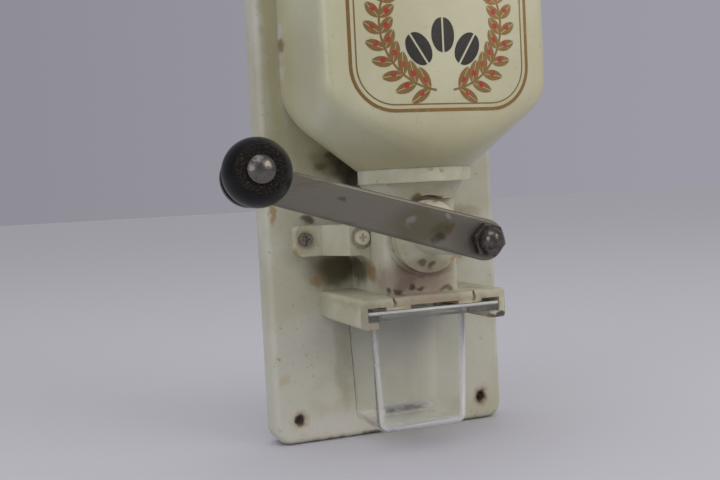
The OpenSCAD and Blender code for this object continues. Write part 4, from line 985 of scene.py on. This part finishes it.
# %% Leaves, berries and beans
LEAF_SIDES, BERRY_SIDES, BEAN_SIDES = 20, 18, 28
RIB_HALF, SLIT_HALF, TAPER = 0.16, 0.45, 0.25


def placed(form, made, turn, x, z):
    """Turns new vertices in the flat drawing and moves them to x and z."""
    bmesh.ops.rotate(form, verts=made, cent=(0, 0, 0), matrix=Matrix.Rotation(-turn, 3, "Y"))
    bmesh.ops.translate(form, verts=made, vec=(x, 0, z))
    return made


def flat_round(form, radius, sides):
    """A filled round in the x-z plane."""
    made = bmesh.ops.create_circle(form, cap_ends=True, segments=sides, radius=radius)["verts"]
    bmesh.ops.rotate(form, verts=made, cent=(0, 0, 0), matrix=STAND_UP)
    return made


def half_round(form, side, sides):
    """One half of a round of radius 1, cut along z."""
    made = flat_round(form, 1.0, sides)
    whole = dict.fromkeys(g for v in made for g in (v, *v.link_edges, *v.link_faces))
    kept = bmesh.ops.bisect_plane(form, geom=list(whole), plane_co=(0, 0, 0),
                                  plane_no=(side, 0, 0), clear_inner=True)["geom"]
    return [g for g in kept if isinstance(g, bmesh.types.BMVert)]


def leaf(form, length, width, turn, x, z):
    """A pointed leaf with a gap for its rib, its stalk end at x and z."""
    for side in (-1, 1):
        verts = half_round(form, side, LEAF_SIDES)
        for v in verts:
            slim = max(1 - v.co.z * v.co.z, 0.0) ** TAPER
            v.co.x = v.co.x * slim * width / 2 + side * RIB_HALF
            v.co.z = (v.co.z + 1) * length / 2
        tint(placed(form, verts, turn, x, z), BRONZE)


def berry(form, radius, x, z):
    """A round red berry."""
    tint(placed(form, flat_round(form, radius, BERRY_SIDES), 0, x, z), RED)


def bean(form, length, width, turn, x, z):
    """A coffee bean: two halves of an oval with a slit between them."""
    for side in (-1, 1):
        verts = half_round(form, side, BEAN_SIDES)
        for v in verts:
            v.co.x = v.co.x * width / 2 + side * SLIT_HALF
            v.co.z = v.co.z * length / 2
        tint(placed(form, verts, turn, x, z), BLACK)


print("a leaf's rib is", 2 * RIB_HALF, "mm wide, a bean's slit", 2 * SLIT_HALF, "mm")

# %% [markdown]
# The twigs rise from the middle of the lower edge to both sides, the right one being the left one
# mirrored. Leaves sit in pairs along each stem, shorter towards its tip, with berries between
# them, and three beans fill the middle. Angles along a stem count in degrees from its lowest
# point.

# %% Draw the ornament
LINE_W, FINE_W, LINE_GAP = 1.5, 0.6, 3.0
STEM_X, STEM_Z, STEM_R, STEM_W = 0.0, 25.0, 29.0, 1.0
STEM_FROM, STEM_TO = 8, 128
LEAF_PAIRS, LEAF_FROM, LEAF_STEP, LEAF_LEAN = 9, 14, 13.5, 48
LEAF_L, LEAF_W, LEAF_LESS = 10.5, 4.4, 0.35
BERRY_R, BERRY_OFF, BERRY_ON = 1.25, 3.0, 6.5
BEAN_L, BEAN_W = 15.0, 10.0


def on_stem(angle, radius):
    """The x and z of a point beside or on the stem's arc."""
    return STEM_X + radius * math.cos(angle), STEM_Z + radius * math.sin(angle)


ink_form = bmesh.new()
for inset, width in ((0.0, LINE_W), (LINE_GAP, FINE_W)):
    frame_line(ink_form, PANEL_HALF - inset, PANEL_LOW + inset, PANEL_HIGH - inset,
               PANEL_CORNER - inset, width)
for side in (-1, 1):
    first, last = (math.radians(-90 + side * d) for d in (STEM_FROM, STEM_TO))
    stem(ink_form, STEM_X, STEM_Z, STEM_R, STEM_W, first, last)
    for step in range(LEAF_PAIRS):
        angle = math.radians(-90 + side * (LEAF_FROM + LEAF_STEP * step))
        growth = angle + side * math.pi / 2 - math.pi / 2
        for lean in (-1, 1):
            leaf(ink_form, LEAF_L - LEAF_LESS * step, LEAF_W,
                 growth + lean * math.radians(LEAF_LEAN), *on_stem(angle, STEM_R))
        angle += side * math.radians(BERRY_ON)
        for off in (-BERRY_OFF, BERRY_OFF):
            berry(ink_form, BERRY_R, *on_stem(angle, STEM_R + off))
for turn, x, z in ((32, -11.5, 14), (0, 0, 20), (-32, 11.5, 14)):
    bean(ink_form, BEAN_L, BEAN_W, math.radians(turn), x, z)
print("lines of", LINE_W, "and", FINE_W, "mm,", len(ink_form.faces), "flat faces drawn")

# %% [markdown]
# A flat drawing can only follow a bowed front if its faces are narrow enough. So it is sliced
# upright every few millimetres before each vertex moves out to the front, and the solidify
# operator gives the ink its film.

# %% Bend the print onto the hopper
SLICE, SLICE_END = 4, 40
INK_OUT, INK_FILM = 0.09, 0.08

for cut_x in range(-SLICE_END, SLICE_END + 1, SLICE):
    whole = list(ink_form.verts) + list(ink_form.edges) + list(ink_form.faces)
    bmesh.ops.bisect_plane(ink_form, geom=whole, plane_co=(cut_x, 0, 0), plane_no=(1, 0, 0))
bmesh.ops.triangulate(ink_form, faces=[f for f in ink_form.faces if len(f.verts) > 4])
for face in ink_form.faces:
    face.normal_update()
    if face.normal.y > 0:
        face.normal_flip()
for v in ink_form.verts:
    v.co = at(v.co.x, front_out(v.co.x) + INK_OUT, v.co.z)
bmesh.ops.solidify(ink_form, geom=list(ink_form.faces), thickness=INK_FILM * MM)

hopper_print = new_piece("hopper_print", ink_form)
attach(hopper_print, "stand")
print("print has", len(hopper_print.data.polygons), "faces")

# %% [markdown]
# Bronze ink holds fine metal flakes: brown where it faces the dark room, gold where it catches
# the window. The black and the red are glossy pigment inks under the same glaze. The flakes
# themselves are too fine to draw, so small specks stand for the places where the ink is thin.

# %% Inks of the print
THIN_MM = 1.5


def ink(name, code, worn_code, metallic, roughness):
    """A fired ink, thinned in small specks."""
    material, tree, shader, place = start(name)
    thin = add(tree, "TexNoise", {"Vector": place, "Scale": 1 / (THIN_MM * MM), "Detail": 3.0})
    thin = add(tree, "MapRange", {"Value": thin, "From Min": 0.55, "From Max": 0.75,
                                  "To Max": 0.6})
    colour = add(tree, "Mix", {0: thin, UNDER: linear(code), OVER: linear(worn_code)},
                 data_type="RGBA")
    fill(tree, shader, {"Base Color": colour, "Metallic": metallic, "Roughness": roughness,
                        "Coat Weight": 0.3})
    return material


for finish in (ink("bronze_ink", "#86683a", "#9c8658", metallic=0.55, roughness=0.32),
               ink("black_ink", "#1f1b18", "#3c352c", metallic=0.0, roughness=0.3),
               ink("red_ink", "#9c231c", "#ad4a3c", metallic=0.0, roughness=0.3)):
    hopper_print.data.materials.append(finish)
print("inks:", [m.name for m in hopper_print.data.materials])

# %% [markdown]
# Last, the box of the dressed mill is measured, and its growth over the imported model's box is
# printed. It should be none, because the new shell and nut stay within the reach of the pieces that
# they replace, and the film of ink lies behind the crank.

# %% Sizes and finish
dressed_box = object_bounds()
grown = [(b - a) - (d - c) for a, b, c, d in zip(*dressed_box, *cad_box)]
print("growth in mm:", [round(g / MM, 2) for g in grown])
